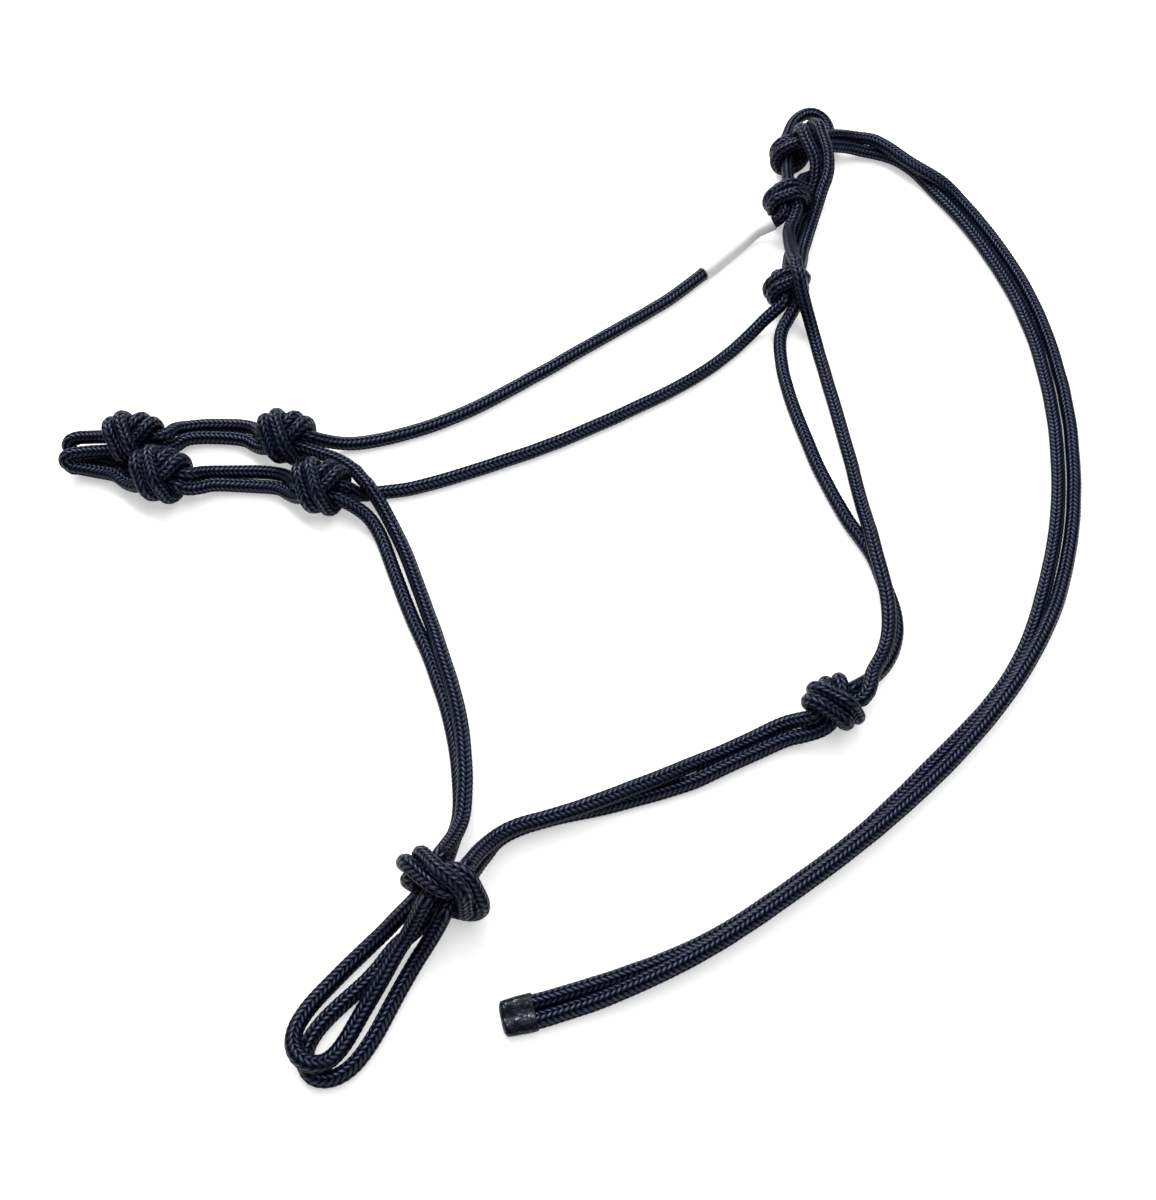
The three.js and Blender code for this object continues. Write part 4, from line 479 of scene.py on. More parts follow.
-1733,-15405,378 -1523,-15336,369 -1312,-15271,362 -1100,-15207,357 -888,-15147,353 -675,-15090,350
-460,-15037,347 -245,-14989,343 -28,-14943,340 188,-14899,338 404,-14855,338 620,-14809,338
836,-14760,338 1050,-14708,338 1264,-14653,338 1477,-14596,338 1690,-14539,338 1903,-14480,338
2116,-14422,338 2328,-14363,338 2541,-14304,338 2754,-14244,338 2966,-14182,338 3178,-14119,338
3388,-14053,338 3599,-13987,338 3808,-13920,338 4018,-13852,338 4227,-13788,343 4434,-13720,357
4638,-13650,377 4840,-13575,400 5039,-13493,422 5236,-13401,442 5432,-13307,456 5629,-13211,466
5826,-13114,471 6024,-13018,474 6223,-12922,474 6423,-12827,472 6623,-12732,468 6822,-12636,465
7021,-12540,461 7220,-12444,458 7418,-12348,457 7614,-12253,459 7811,-12163,466 8008,-12075,476
8202,-11993,491 8395,-11918,510 8584,-11853,532 8768,-11801,557 8949,-11770,584 9123,-11743,616
9295,-11716,660 9464,-11688,712 9630,-11661,771 9790,-11626,844 9948,-11588,925 10088,-11535,1023
10219,-11468,1136 10294,-11364,1273 10385,-11206,1295 10480,-11058,1364 10557,-10914,1456 10635,-10751,1513
10723,-10595,1560 10764,-10409,1575 10798,-10223,1590 10797,-10029,1602 10784,-9840,1561 10772,-9672,1455
10775,-9546,1301 10795,-9478,1110 10836,-9474,912 10896,-9534,725 10968,-9648,576 11047,-9807,479
11128,-9985,448 11205,-10167,485 11276,-10346,527 11349,-10529,569 11414,-10709,618 11450,-10877,722
11456,-11006,873 11428,-11087,1057 11370,-11107,1248 11280,-11073,1428 11188,-11043,1603 11093,-11013,1781
10986,-10975,1944 10838,-10908,2062 10673,-10818,2117 10501,-10717,2115 10332,-10619,2113 10160,-10520,2110
9993,-10418,2091 9846,-10308,2008 9738,-10210,1869 9679,-10134,1688 9677,-10087,1491 9733,-10073,1294
9842,-10087,1129 9996,-10121,1009 10176,-10161,957 10366,-10177,974 10540,-10132,1020 10720,-10084,1003
10900,-10047,1003 11075,-9999,1053 11291,-9878,1068 11440,-9768,985 11550,-9659,866 11677,-9551,762
11812,-9444,666 11956,-9333,587 12107,-9219,523 12261,-9106,476 12416,-8980,443 12572,-8841,420
12724,-8690,403 12869,-8529,391 13004,-8356,383 13126,-8174,378 13238,-7985,375 13338,-7791,374
13427,-7591,373 13505,-7388,373 13572,-7181,374 13627,-6970,375 13668,-6757,376 13696,-6541,376
13709,-6323,376 13709,-6104,375 13697,-5885,372 13674,-5666,369 13642,-5447,365 13603,-5229,360
13560,-5012,356 13516,-4796,353 13471,-4580,351 13427,-4364,350 13383,-4150,350 13337,-3936,351
13290,-3722,352 13240,-3510,353 13185,-3298,352 13124,-3088,350 13056,-2880,343 12977,-2676,338
12889,-2476,338 12791,-2280,338 12690,-2083,338 12589,-1886,340 12484,-1691,339 12381,-1496,338
12282,-1299,338 12190,-1100,338 12104,-899,338 12022,-696,338 11944,-491,338 11867,-286,338
11791,-80,338 11715,125,338 11640,332,338 11565,538,338 11492,745,338 11420,953,338
11350,1161,338 11282,1369,338 11216,1579,338 11153,1789,338 11093,2000,338 11035,2212,338
10979,2424,338 10925,2636,338 10872,2849,338 10821,3062,338 10769,3275,338 10718,3488,338
10665,3701,338 10612,3915,338 10560,4128,338 10508,4341,338 10457,4555,338 10408,4769,338
10362,4984,338 10317,5199,338 10275,5414,338 10233,5629,338 10194,5845,338 10155,6062,338
10119,6278,338 10084,6495,338 10053,6712,338 10024,6930,338 9999,7147,338 9978,7365,338
9960,7583,338 9946,7801,340 9934,8018,343 9927,8233,347 9922,8447,353 9922,8658,362
9926,8866,375 9935,9070,392 9951,9270,414 9975,9463,443 10011,9650,478 10062,9831,522
10132,10005,576 10221,10173,639 10328,10335,712 10428,10492,788 10528,10644,869 10627,10792,951
10717,10942,1041 10797,11090,1135 10828,11252,1246 10793,11406,1362 10640,11569,1472 10602,11728,1451
10546,11888,1469 10470,12035,1501 10405,12192,1499 10352,12349,1496 10278,12493,1443 10200,12632,1388
10101,12753,1317 10026,12859,1207 9995,12947,1057 10017,13015,896 10094,13055,735 10216,13069,603
10373,13056,511 10543,13020,472 10710,12965,491 10853,12905,566 10960,12844,691 11061,12783,817
11164,12720,945 11258,12655,1074 11303,12582,1228 11289,12517,1392 11217,12463,1550 11098,12428,1679
10941,12405,1768 10787,12377,1854 10631,12348,1941 10472,12315,2011 10301,12269,2023 10143,12222,1975
10006,12172,1880 9871,12123,1786 9735,12072,1691 9609,12026,1584 9523,11992,1433 9492,11971,1260
9518,11966,1079 9597,11978,917 9722,12007,786 9871,12057,706 10031,12126,681 10171,12215,715
10270,12331,792 10317,12475,860 10397,12621,883 10474,12761,924 10518,12909,994 10581,13286,1052
10604,13427,980 10633,13606,923 10663,13782,864 10695,13961,804 10728,14143,744 10762,14327,683
10798,14514,622 10833,14704,559 10880,14894,497 10940,15093,447 11009,15300,410 11084,15513,385
11161,15729,369 11236,15946,359 11308,16163,353 11378,16380,350 11445,16598,347 11511,16816,346
11579,17034,346 11652,17252,349 11738,17465,352 11845,17673,353 12026,17823,338 12178,18124,338
12164,18404,356 12147,18595,465 12214,18785,543 12246,18954,673 12282,19100,815 12335,19249,956
12397,19395,1097 12444,19550,1245 12464,19717,1384 12478,19882,1523 12488,20043,1660 12480,20207,1786
12441,20372,1897 12386,20536,1992 12321,20699,2073 12253,20860,2140 12186,21018,2195 12123,21173,2241
12065,21326,2281 12014,21478,2318 11974,21630,2371 11934,21806,2399 11888,22001,2373 11854,22200,2297
11836,22366,2173 11837,22502,2036 11835,22622,1905 11828,22717,1766 11819,22780,1610 11812,22807,1433
11814,22809,1237 11830,22752,1034 11818,22671,839 11756,22585,685 11690,22506,548 11624,22413,435
11552,22295,362 11455,22175,338 11326,22080,338 11117,22030,338 10928,22026,372 10754,22038,523
10641,22054,742 10627,22071,994 10711,22099,1231 10876,22134,1422 11098,22173,1518 11336,22205,1529
11549,22222,1433 11720,22179,1284 11879,22121,1159 12066,22071,1083 12255,22026,1056 12431,21995,1057
12594,21978,1083 12750,21972,1114 12899,22001,1154 13048,22038,1176 13192,22108,1189 13349,22170,1184
13518,22222,1165 13696,22277,1124 13865,22339,1048 14034,22405,972 14210,22468,904 14390,22524,837
14574,22568,771 14766,22598,704 14964,22612,636 15159,22619,575 15353,22614,520 15547,22603,474
15741,22589,440 15940,22562,415 16142,22520,400 16343,22459,393 16540,22381,394 16732,22287,398
16919,22179,404 17100,22061,409 17274,21932,413 17440,21793,414 17597,21645,411 17746,21490,407
17886,21328,399 18019,21161,391 18146,20989,381 18268,20814,370 18387,20634,360 18501,20449,351
18611,20260,344 18717,20067,341 18820,19871,339 18923,19675,340 19028,19479,342 19135,19287,346
19244,19097,351 19354,18908,356 19463,18718,358 19570,18528,360 19675,18336,360 19778,18142,359
19879,17947,359 19978,17752,358 20076,17555,358 20170,17356,357 20262,17157,356 20352,16957,355
20439,16756,354 20524,16553,352 20607,16350,351 20688,16146,350 20767,15942,349 20845,15736,349
20921,15530,348 20996,15323,348 21070,15116,347 21142,14908,347 21213,14699,347 21282,14490,347
21350,14280,347 21416,14070,347 21480,13860,346 21543,13648,346 21605,13437,347 21665,13225,347
21724,13012,348 21782,12799,348 21838,12585,349 21892,12371,350 21942,12156,350 21990,11941,350
22034,11726,349 22076,11510,349 22115,11294,348 22152,11078,347 22188,10860,346 22223,10643,346
22257,10425,346 22289,10207,347 22320,9988,347 22348,9770,348 22374,9551,348 22398,9332,348
22418,9112,348 22436,8893,348 22451,8674,347 22463,8454,346 22473,8235,345 22481,8016,344
22488,7796,343 22494,7577,343 22500,7356,342 22505,7136,342 22511,6915,343 22516,6694,344
22520,6474,345 22521,6253,345 22519,6032,345 22514,5813,345 22506,5593,344 22496,5373,343
22486,5154,343 22476,4934,343 22466,4713,343 22455,4492,344 22443,4272,345 22429,4052,345
22410,3832,345 22388,3613,345 22362,3395,344 22334,3178,343 22306,2960,342 22278,2742,341
22250,2523,341 22222,2304,342 22194,2085,342 22165,1866,343 22134,1648,343 22100,1430,343
22063,1213,343 22024,996,343 21983,780,343 21941,564,343 21898,348,343 21853,132,342
21807,-84,343 21760,-299,343 21711,-514,343 21661,-729,343 21609,-943,343 21554,-1156,343
21497,-1369,343 21438,-1581,343 21377,-1790,343 21312,-2002,344 21244,-2217,345 21173,-2435,346
21102,-2653,347 21029,-2868,349 20957,-3081,351 20884,-3290,352 20809,-3497,354 20734,-3703,355
20656,-3907,356 20578,-4110,357 20498,-4314,358 20419,-4518,358 20339,-4722,358 20258,-4926,358
20177,-5129,358 20094,-5332,358 20011,-5534,358 19926,-5736,358 19840,-5938,358 19753,-6139,358
19663,-6340,358 19570,-6540,358 19476,-6739,358 19378,-6936,358 19279,-7131,358 19176,-7324,358
19071,-7516,358 18963,-7706,358 18852,-7894,358 18738,-8080,358 18620,-8265,358 18500,-8448,358
18377,-8629,358 18252,-8808,358 18123,-8985,358 17992,-9160,358 17858,-9334,358 17721,-9505,358
17582,-9675,358 17441,-9843,358 17297,-10009,358 17151,-10173,358 17003,-10336,358 16853,-10496,358
16700,-10656,358 16547,-10814,358 16391,-10971,358 16236,-11126,358 16079,-11279,358 15923,-11431,358
15766,-11581,358 15609,-11732,358 15450,-11882,358 15289,-12034,358 15128,-12186,358 14967,-12337,358
14809,-12485,358 14655,-12630,358 14500,-12776,358 14342,-12925,358 14181,-13076,358 14024,-13225,358
13872,-13368,358 13723,-13509,358 13571,-13653,358 13415,-13800,358 13257,-13950,358 13098,-14100,358
12940,-14248,358 12783,-14394,358 12626,-14540,358 12468,-14685,358 12307,-14831,358 12144,-14978,358
11980,-15124,358 11814,-15269,358 11648,-15412,358 11481,-15553,358 11313,-15693,358 11143,-15832,358
10972,-15970,358 10799,-16107,358 10626,-16241,358 10453,-16375,358 10279,-16506,358 10104,-16637,358
9929,-16766,358 9753,-16895,358 9576,-17023,358 9398,-17150,358 9220,-17276,358 9041,-17403,358
8861,-17528,358 8682,-17654,358 8501,-17779,358 8321,-17903,358 8140,-18028,358 7959,-18152,358
7777,-18276,358 7595,-18399,358 7413,-18522,358 7231,-18644,358 7049,-18765,358 6865,-18886,358
6681,-19005,358 6495,-19124,358 6308,-19241,358 6121,-19356,358 5933,-19469,358 5744,-19579,358
5554,-19687,358 5365,-19792,358 5176,-19893,358 4989,-19990,358 4806,-20082,358 4626,-20170,358
4448,-20254,358 4275,-20333,358 4111,-20406,358 3953,-20475,358 3771,-20552,358 3554,-20641,358
3327,-20731,358 3125,-20809,358 2939,-20879,358 2754,-20947,358 2564,-21016,358 2370,-21085,358
2174,-21154,358 1977,-21221,358 1779,-21289,358 1579,-21355,358 1379,-21421,358 1177,-21487,358
974,-21552,358 771,-21616,358 566,-21679,358 360,-21741,358 152,-21803,358 -58,-21864,358
-270,-21926,358 -483,-21989,358 -696,-22051,358 -909,-22113,358 -1122,-22173,358 -1337,-22229,358
-1557,-22283,358 -1786,-22335,358 -2032,-22389,358 -2296,-22450,358 -2440,-22484,358 -2627,-22529,358
"""

# (end of the run in mm along the rope, piece); each run starts where the last one ends
RUN_ENDS = [
    (291.12, "crown_tail_c_outer"), (495.51, "crown_tail_b_outer"),
    (612.86, "crown_tail_a_outer"), (829.71, "crown_hitch_outer"),
    (926.38, "off_crown_knot"), (1164.61, "cheek_off"),
    (1269.57, "side_knot_off"), (1325.86, "noseband_off_lower"),
    (1433.08, "nose_knot_off"), (1498.46, "noseband_front_upper"),
    (1604.59, "nose_knot_near"), (1660.42, "noseband_near_lower"),
    (1765.36, "side_knot_near"), (2040.45, "cheek_near"),
    (2144.63, "near_eye_knot"), (2275.48, "eye_loop"),
    (2377.48, "near_eye_knot"), (2633.91, "throat_upper_near"),
    (2667.58, "throat_bend_near"), (2773.75, "throat_knot"),
    (2931.13, "throat_lower_upper_rope"), (3020.28, "fiador_knot"),
    (3169.81, "tie_loop_lower"), (3259.15, "fiador_knot"),
    (3481.43, "chin_near"), (3588.15, "side_knot_near"),
    (3648.82, "noseband_near_upper"), (3753.64, "nose_knot_near"),
    (3814.92, "noseband_front_lower"), (3919.86, "nose_knot_off"),
    (3979.08, "noseband_off_upper"), (4085.56, "side_knot_off"),
    (4266.58, "chin_off"), (4355.59, "fiador_knot"),
    (4504.49, "tie_loop_upper"), (4593.95, "fiador_knot"),
    (4751.54, "throat_lower_lower_rope"), (4856.13, "throat_knot"),
    (4894.43, "throat_bend_off"), (5083.99, "throat_upper_off"),
    (5179.62, "off_crown_knot"), (5365.67, "crown_hitch_inner"),
    (5490.71, "crown_tail_a_inner"), (5684.49, "crown_tail_b_inner"),
    (5974.22, "crown_tail_c_inner"),
]
RUN_STARTS = [0.0] + [end for end, _ in RUN_ENDS]
COURSE = [(start, end, name) for start, (end, name) in zip(RUN_STARTS, RUN_ENDS)]
# start and end of a piece that is laid in one run
SPAN = {name: (start, end) for start, end, name in COURSE}

# rope pieces of each moving body
BODY = {
    "headpiece": [
        "side_knot_near", "side_knot_off", "cheek_near", "cheek_off", "near_eye_knot",
        "off_crown_knot", "eye_loop", "crown_hitch_outer", "crown_hitch_inner",
        "throat_upper_near", "throat_upper_off",
    ],
    "noseband": [
        "noseband_near_upper", "noseband_near_lower", "noseband_off_upper",
        "noseband_off_lower", "nose_knot_near", "nose_knot_off",
        "noseband_front_upper", "noseband_front_lower",
    ],
    "jaw": [
        "chin_near", "chin_off", "fiador_knot", "throat_lower_upper_rope",
        "throat_lower_lower_rope", "throat_knot", "throat_bend_near", "throat_bend_off",
    ],
    "loop_upper": ["tie_loop_upper"],
    "loop_lower": ["tie_loop_lower"],
    "tail_a": ["crown_tail_a_outer", "crown_tail_a_inner"],
    "tail_b": ["crown_tail_b_outer", "crown_tail_b_inner"],
    "tail_c": ["crown_tail_c_outer", "crown_tail_c_inner"],
}
BODY_OF = {name: body for body, names in BODY.items() for name in names}

# hinge points, metres
NOSEBAND_HINGE = (-0.13324, 0.0146, 0.01002)
TAIL_HINGE = (0.15327, 0.22785, 0.00814)
LOOP_HINGES = {
    "tie_loop_upper": (-0.05889, -0.19178, 0.0182),
    "tie_loop_lower": (-0.05261, -0.19532, 0.01304),
}

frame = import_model()
PARENT = {joint["child"]: joint["parent"] for joint in frame["joints"]}


# ---------------------------------------------------------------- the rope's course
POINTS = np.array([point.split(",") for point in CENTRELINE.split()], float) / 100.0
LENGTHS = np.r_[0, np.cumsum(np.linalg.norm(np.diff(POINTS, axis=0), axis=1))]
ROPE_END = LENGTHS[-1]


def smooth_tangents():
    """Slope at each point, weighted by the lengths of the two spans beside it."""
    span = np.diff(LENGTHS)[:, None]
    slope = np.diff(POINTS, axis=0) / span
    tangents = np.zeros_like(POINTS)
    tangents[1:-1] = (slope[:-1] * span[1:] + slope[1:] * span[:-1]) / (span[1:] + span[:-1])
    tangents[0], tangents[-1] = slope[0], slope[-1]
    return tangents


TANGENTS = smooth_tangents()


def centre(s):
    """Points on the centreline at lengths s, by cubic Hermite spans."""
    s = np.clip(np.asarray(s, float), 0, ROPE_END)
    i = np.clip(np.searchsorted(LENGTHS, s, side="right") - 1, 0, len(LENGTHS) - 2)
    span = LENGTHS[i + 1] - LENGTHS[i]
    t = ((s - LENGTHS[i]) / span)[:, None]
    span = span[:, None]
    return (
        (2 * t**3 - 3 * t**2 + 1) * POINTS[i]
        + (t**3 - 2 * t**2 + t) * span * TANGENTS[i]
        + (-2 * t**3 + 3 * t**2) * POINTS[i + 1]
        + (t**3 - t**2) * span * TANGENTS[i + 1]
    )


def unit(v):
    return v / np.maximum(np.linalg.norm(v, axis=-1, keepdims=True), 1e-12)


def carried_normals(tangents):
    """One normal carried along without twist, so the braid runs on from piece to piece."""
    normals = np.zeros_like(tangents)
    normal = np.array([0.0, 0.0, 1.0])
    for i, tangent in enumerate(tangents):
        normal = normal - tangent * (normal @ tangent)
        normal = normal / np.linalg.norm(normal)
        normals[i] = normal
    return normals


GRID = np.arange(0, ROPE_END + FRAME_STEP, FRAME_STEP)
GRID_TANGENTS = unit(np.gradient(centre(GRID), axis=0))
GRID_NORMALS = carried_normals(GRID_TANGENTS)


def cross_axes(s):
    """The two unit axes square to the rope at lengths s."""
    x = np.clip(s, 0, GRID[-1]) / FRAME_STEP
    i = np.clip(x.astype(int), 0, len(GRID) - 2)
    f = (x - i)[:, None]
    tangent = unit(GRID_TANGENTS[i] * (1 - f) + GRID_TANGENTS[i + 1] * f)
    normal = GRID_NORMALS[i] * (1 - f) + GRID_NORMALS[i + 1] * f
    normal = unit(normal - tangent * np.sum(tangent * normal, axis=1)[:, None])
    return normal, np.cross(tangent, normal)


# ---------------------------------------------------------------- tubes
def ring_points(centres, axis_x, axis_y, x, y):
    """Section points x, y of every ring, set on its centre and axes."""
    points = (
        centres[:, None, :]
        + axis_x[:, None, :] * x[..., None]
        + axis_y[:, None, :] * y[..., None]
    )
    return points.reshape(-1, 3)


def ring_quads(spans, around):
    """Ring and spoke number of each quad of a tube, and its corners."""
    ring, spoke = np.meshgrid(np.arange(spans), np.arange(around), indexing="ij")
    a = ring * around + spoke
    b = ring * around + (spoke + 1) % around
    return ring, spoke, np.stack([a, b, b + around, a + around], -1).reshape(-1, 4)


def link_object(name, data):
    ob = bpy.data.objects.new(name, data)
    bpy.context.scene.collection.objects.link(ob)
    return ob


def braid_height(s, angle):
    """Height of the sheath over its base: two hands of carriers, two over and two under."""
    def crown(turns):
        off = turns - np.round(turns)
        return YARN_CROWN * np.sqrt(np.clip(1 - (2 * off * 0.94) ** 2, 0, 1))

    weave = np.cos(4 * angle)
    weave = np.sign(weave) * np.abs(weave) ** 0.7
    right = crown(CARRIERS * (angle / (2 * np.pi) + s / LEAD)) + FLOAT_RISE * weave
    left = crown(CARRIERS * (angle / (2 * np.pi) - s / LEAD)) - FLOAT_RISE * weave
    return np.maximum(right, left)


def rope_run(start, end):
    """Vertices, quads and braid phases of the sheath between two places on the rope."""
    spans = max(2, int(round((end - start) / RING_STEP)))
    s = np.linspace(start, end, spans + 1)
    ring_s, angle = np.meshgrid(s, np.arange(ROUND) * 2 * np.pi / ROUND, indexing="ij")
    # slow unevenness of a hand-laid cord
    wander = 1.3 * np.sin(ring_s * 0.071)
    slow = 0.05 * np.sin(ring_s * 0.31 + wander) * np.cos(angle + ring_s * 0.05)
    base = ROPE_RADIUS - YARN_CROWN - FLOAT_RISE * 0.8
    r = base + braid_height(ring_s, angle) + slow
    verts = ring_points(centre(s), *cross_axes(s), r * np.cos(angle), r * np.sin(angle))
    ring, spoke, quads = ring_quads(spans, ROUND)
    # phase at each corner: which carrier of either hand, and how far along it
    turn = np.stack([spoke, spoke + 1, spoke + 1, spoke], -1) / ROUND
    run = np.stack([s[ring], s[ring], s[ring + 1], s[ring + 1]], -1) / LEAD
    phase = np.stack([CARRIERS * (turn + run), CARRIERS * (turn - run)], -1).reshape(-1, 2)
    return verts, quads, phase


def rope_object(name, runs):
    """One smooth mesh of several (start, end) runs, with the UV map the rope material reads."""
    parts = [rope_run(start, end) for start, end in runs]
    bases = np.cumsum([0] + [len(part[0]) for part in parts])
    verts = np.vstack([part[0] for part in parts])
    quads = np.vstack([part[1] + base for part, base in zip(parts, bases)])
    phase = np.vstack([part[2] for part in parts])
    count = len(quads)
    me = bpy.data.meshes.new(name)
    me.vertices.add(len(verts))
    me.vertices.foreach_set("co", (verts * MM).astype(np.float32).ravel())
    me.loops.add(count * 4)
    me.loops.foreach_set("vertex_index", quads.astype(np.int32).ravel())
    me.polygons.add(count)
    me.polygons.foreach_set("loop_start", (np.arange(count) * 4).astype(np.int32))
    me.polygons.foreach_set("loop_total", np.full(count, 4, np.int32))
    me.polygons.foreach_set("use_smooth", np.ones(count, bool))
    me.update(calc_edges=True)
    # per corner, so that it stays true where the sheath closes on itself
    layer = me.uv_layers.new(name="braid")
    layer.data.foreach_set("uv", phase.astype(np.float32).ravel())
    return link_object(name, me)


# a bend takes over the rope where plain runs of two bodies meet at a hinge
laid = [list(run) for run in COURSE]
bend_runs = []
for before, after in zip(laid, laid[1:]):
    kinds = {"_".join(run[2].split("_")[:2]) for run in (before, after)}
    if kinds in ({"crown_tail"}, {"throat_upper", "throat_bend"}):
        before[1] -= BEND
        after[0] += BEND
        bend_runs.append((before[1], after[0], before[2], after[2]))

pieces = {
    name: rope_object("rope_" + name, [(start, end) for start, end, n in laid if n == name])
    for name in BODY_OF
}
bends = [
    (rope_object("rope_bend_%s_%s" % (first, second), [(start, end)]), start, end, first, second)
    for start, end, first, second in bend_runs
]


# ---------------------------------------------------------------- sleeves
def closed_tube(name, centres, axis_x, axis_y, x, y):
    """Rings carried along centres, closed at either end by a fan of triangles."""
    rings, around = x.shape
    verts = ring_points(centres, axis_x, axis_y, x, y)
    quads = ring_quads(rings - 1, around)[2]
    first_hub = len(verts)
    last_hub = first_hub + 1
    last = (rings - 1) * around
    faces = [tuple(int(i) for i in quad) for quad in quads]
    faces += [(first_hub, (k + 1) % around, k) for k in range(around)]
    faces += [(last_hub, last + k, last + (k + 1) % around) for k in range(around)]
    verts = np.vstack([verts, centres[:1], centres[-1:]])
    me = bpy.data.meshes.new(name)
    me.from_pydata([tuple(v) for v in verts * MM], [], faces)
    for polygon in me.polygons:
        polygon.use_smooth = True
    me.update()
    return link_object(name, me)


def label_sleeve():
    """Slightly wrinkled sleeve on the near cheek, with rounded rims."""
    body_radius, shoulder_radius, rim_radius = 3.74, 3.55, 3.1
    around = 48
    start, end = LABEL_RUN
    body = np.linspace(start + 0.35, end - 0.5, 150)
    s = np.r_[start, start + 0.05, body, end - 0.1, end]
    radius = np.full(len(s), body_radius)
    radius[[1, -2]] = shoulder_radius
    ring_s, angle = np.meshgrid(s, np.arange(around) * 2 * np.pi / around, indexing="ij")
    wrinkle = 0.035 * np.sin(ring_s * 0.9 + 2 * np.sin(angle)) * np.sin(2 * angle + ring_s * 0.2)
    r = radius[:, None] + wrinkle + 0.03 * np.sin(ring_s * 2.3 + angle)
    r[[0, -1]] = rim_radius
    x, y = r * np.cos(angle), r * np.sin(angle)
    return closed_tube("label_wrap", centre(s), *cross_axes(s), x, y)


def end_section(q, half_gap, r):
    """Section of the end sleeve at q, 0 at its open end and 1 at its closed end."""
    angle = np.arange(96) * 2 * np.pi / 96
    c, sn = np.cos(angle), np.sin(angle)
    # two round lobes with the sleeve drawn a little into the valley between them
    lobe = half_gap * (1 - 0.10 * q**2)
    x = lobe * np.tanh(3.2 * c) / np.tanh(3.2) + r * c
    valley = 1.0 * np.exp(-((x / 2.1) ** 2)) * np.sign(sn) * np.abs(sn) ** 0.5
    y = r * sn - valley
    # the closed end is pinched flat and rounded off
    tip = max(0.0, (q - 0.80) / 0.20)
    close = math.sqrt(max(0.0, 1 - tip**2.6))
    pinch = 1 - 0.28 * max(0.0, (q - 0.45) / 0.55) ** 1.5
    x = x * (0.35 + 0.65 * close) * (1 - 0.06 * max(0.0, (q - 0.4) / 0.6))
    y = y * pinch * (0.10 + 0.90 * close)
    wrinkle = 0.10 * np.sin(2 * angle + 5 * q) * np.sin(q * 9)
    wrinkle = wrinkle + 0.04 * np.sin(3 * angle + q * 17)
    return x * (1 + wrinkle * 0.10), y * (1 + wrinkle * 0.25)


def end_sleeve():
    """Sleeve over both rope ends, side by side."""
    overrun = 1.6  # past the rope ends
    floor_gap = 0.0001  # metres; nothing of the sleeve lies below this
    beyond = np.linspace(0, 1, 26)[1:, None]

    def axis_to(start, end):
        line = centre(np.linspace(start, end, 90))
        return np.vstack([line, line[-1] + unit(line[-1] - line[-8]) * overrun * beyond])

    first = axis_to(END_RUNS[0], 0.0)
    second = axis_to(END_RUNS[1], ROPE_END)
    middle = (first + second) / 2
    half_gap = np.linalg.norm(second - first, axis=1) / 2
    tangent = unit(np.gradient(middle, axis=0))
    side = unit(second - first)
    side = unit(side - tangent * np.sum(side * tangent, axis=1)[:, None])
    up = np.cross(side, tangent)
    radii = np.full(len(middle), 3.78)
    radii[:2] = 3.15, 3.6  # rounded rim
    stations = zip(np.linspace(0, 1, len(middle)), half_gap, radii)
    sections = np.array([end_section(*station) for station in stations])
    ob = closed_tube("end_wrap", middle, side, up, sections[:, 0], sections[:, 1])
    for vertex in ob.data.vertices:
        if vertex.co.z < floor_gap:
            vertex.co.z = floor_gap
    return ob


label = label_sleeve()
cap = end_sleeve()


# ---------------------------------------------------------------- materials
class Material:
    """A Principled material; inputs take either a value or another node's output."""

    def __init__(self, name):
        self.mat = bpy.data.materials.new(name)
        self.mat.use_nodes = True
        self.tree = self.mat.node_tree
        self.bsdf = self.tree.nodes["Principled BSDF"]

    def put(self, socket, value):
        if isinstance(value, bpy.types.NodeSocket):
            self.tree.links.new(value, socket)
        else:
            socket.default_value = value

    def surface(self, values):
        for key, value in values.items():
            self.put(self.bsdf.inputs[key], value)

    def add(self, kind, **values):
        node = self.tree.nodes.new(kind)
        for key, value in values.items():
            if key in node.inputs:
                self.put(node.inputs[key], value)
            else:
                setattr(node, key, value)
        return node

    def noise(self, **values):
        return self.add("ShaderNodeTexNoise", **values).outputs["Fac"]

    def object_coord(self):
        return self.add("ShaderNodeTexCoord").outputs["Object"]

    def bump(self, **values):
        return self.add("ShaderNodeBump", **values).outputs[0]

    def math(self, operation, *operands, clamp=False):
        node = self.add("ShaderNodeMath", operation=operation, use_clamp=clamp)
        for socket, value in zip(node.inputs, operands):
            self.put(socket, value)
        return node.outputs[0]

    def scaled(self, value, gain, offset):
        return self.math("ADD", self.math("MULTIPLY", value, gain), offset)

    def pick(self, choice, if_one, if_zero):
        node = self.add("ShaderNodeMix", data_type="FLOAT")
        for socket, value in zip(list(node.inputs)[:4:1], (choice, None, if_zero, if_one)):
            if value is not None:
                self.put(socket, value)
        return node.outputs[0]

    def ramp(self, factor, stops):
        node = self.tree.nodes.new("ShaderNodeValToRGB")
        elements = node.color_ramp.elements
        while len(elements) < len(stops):
            elements.new(0.5)
        for element, (position, color) in zip(elements, stops):
            element.position = position
            element.color = (*color, 1)
        self.put(node.inputs[0], factor)
        return node.outputs[0]


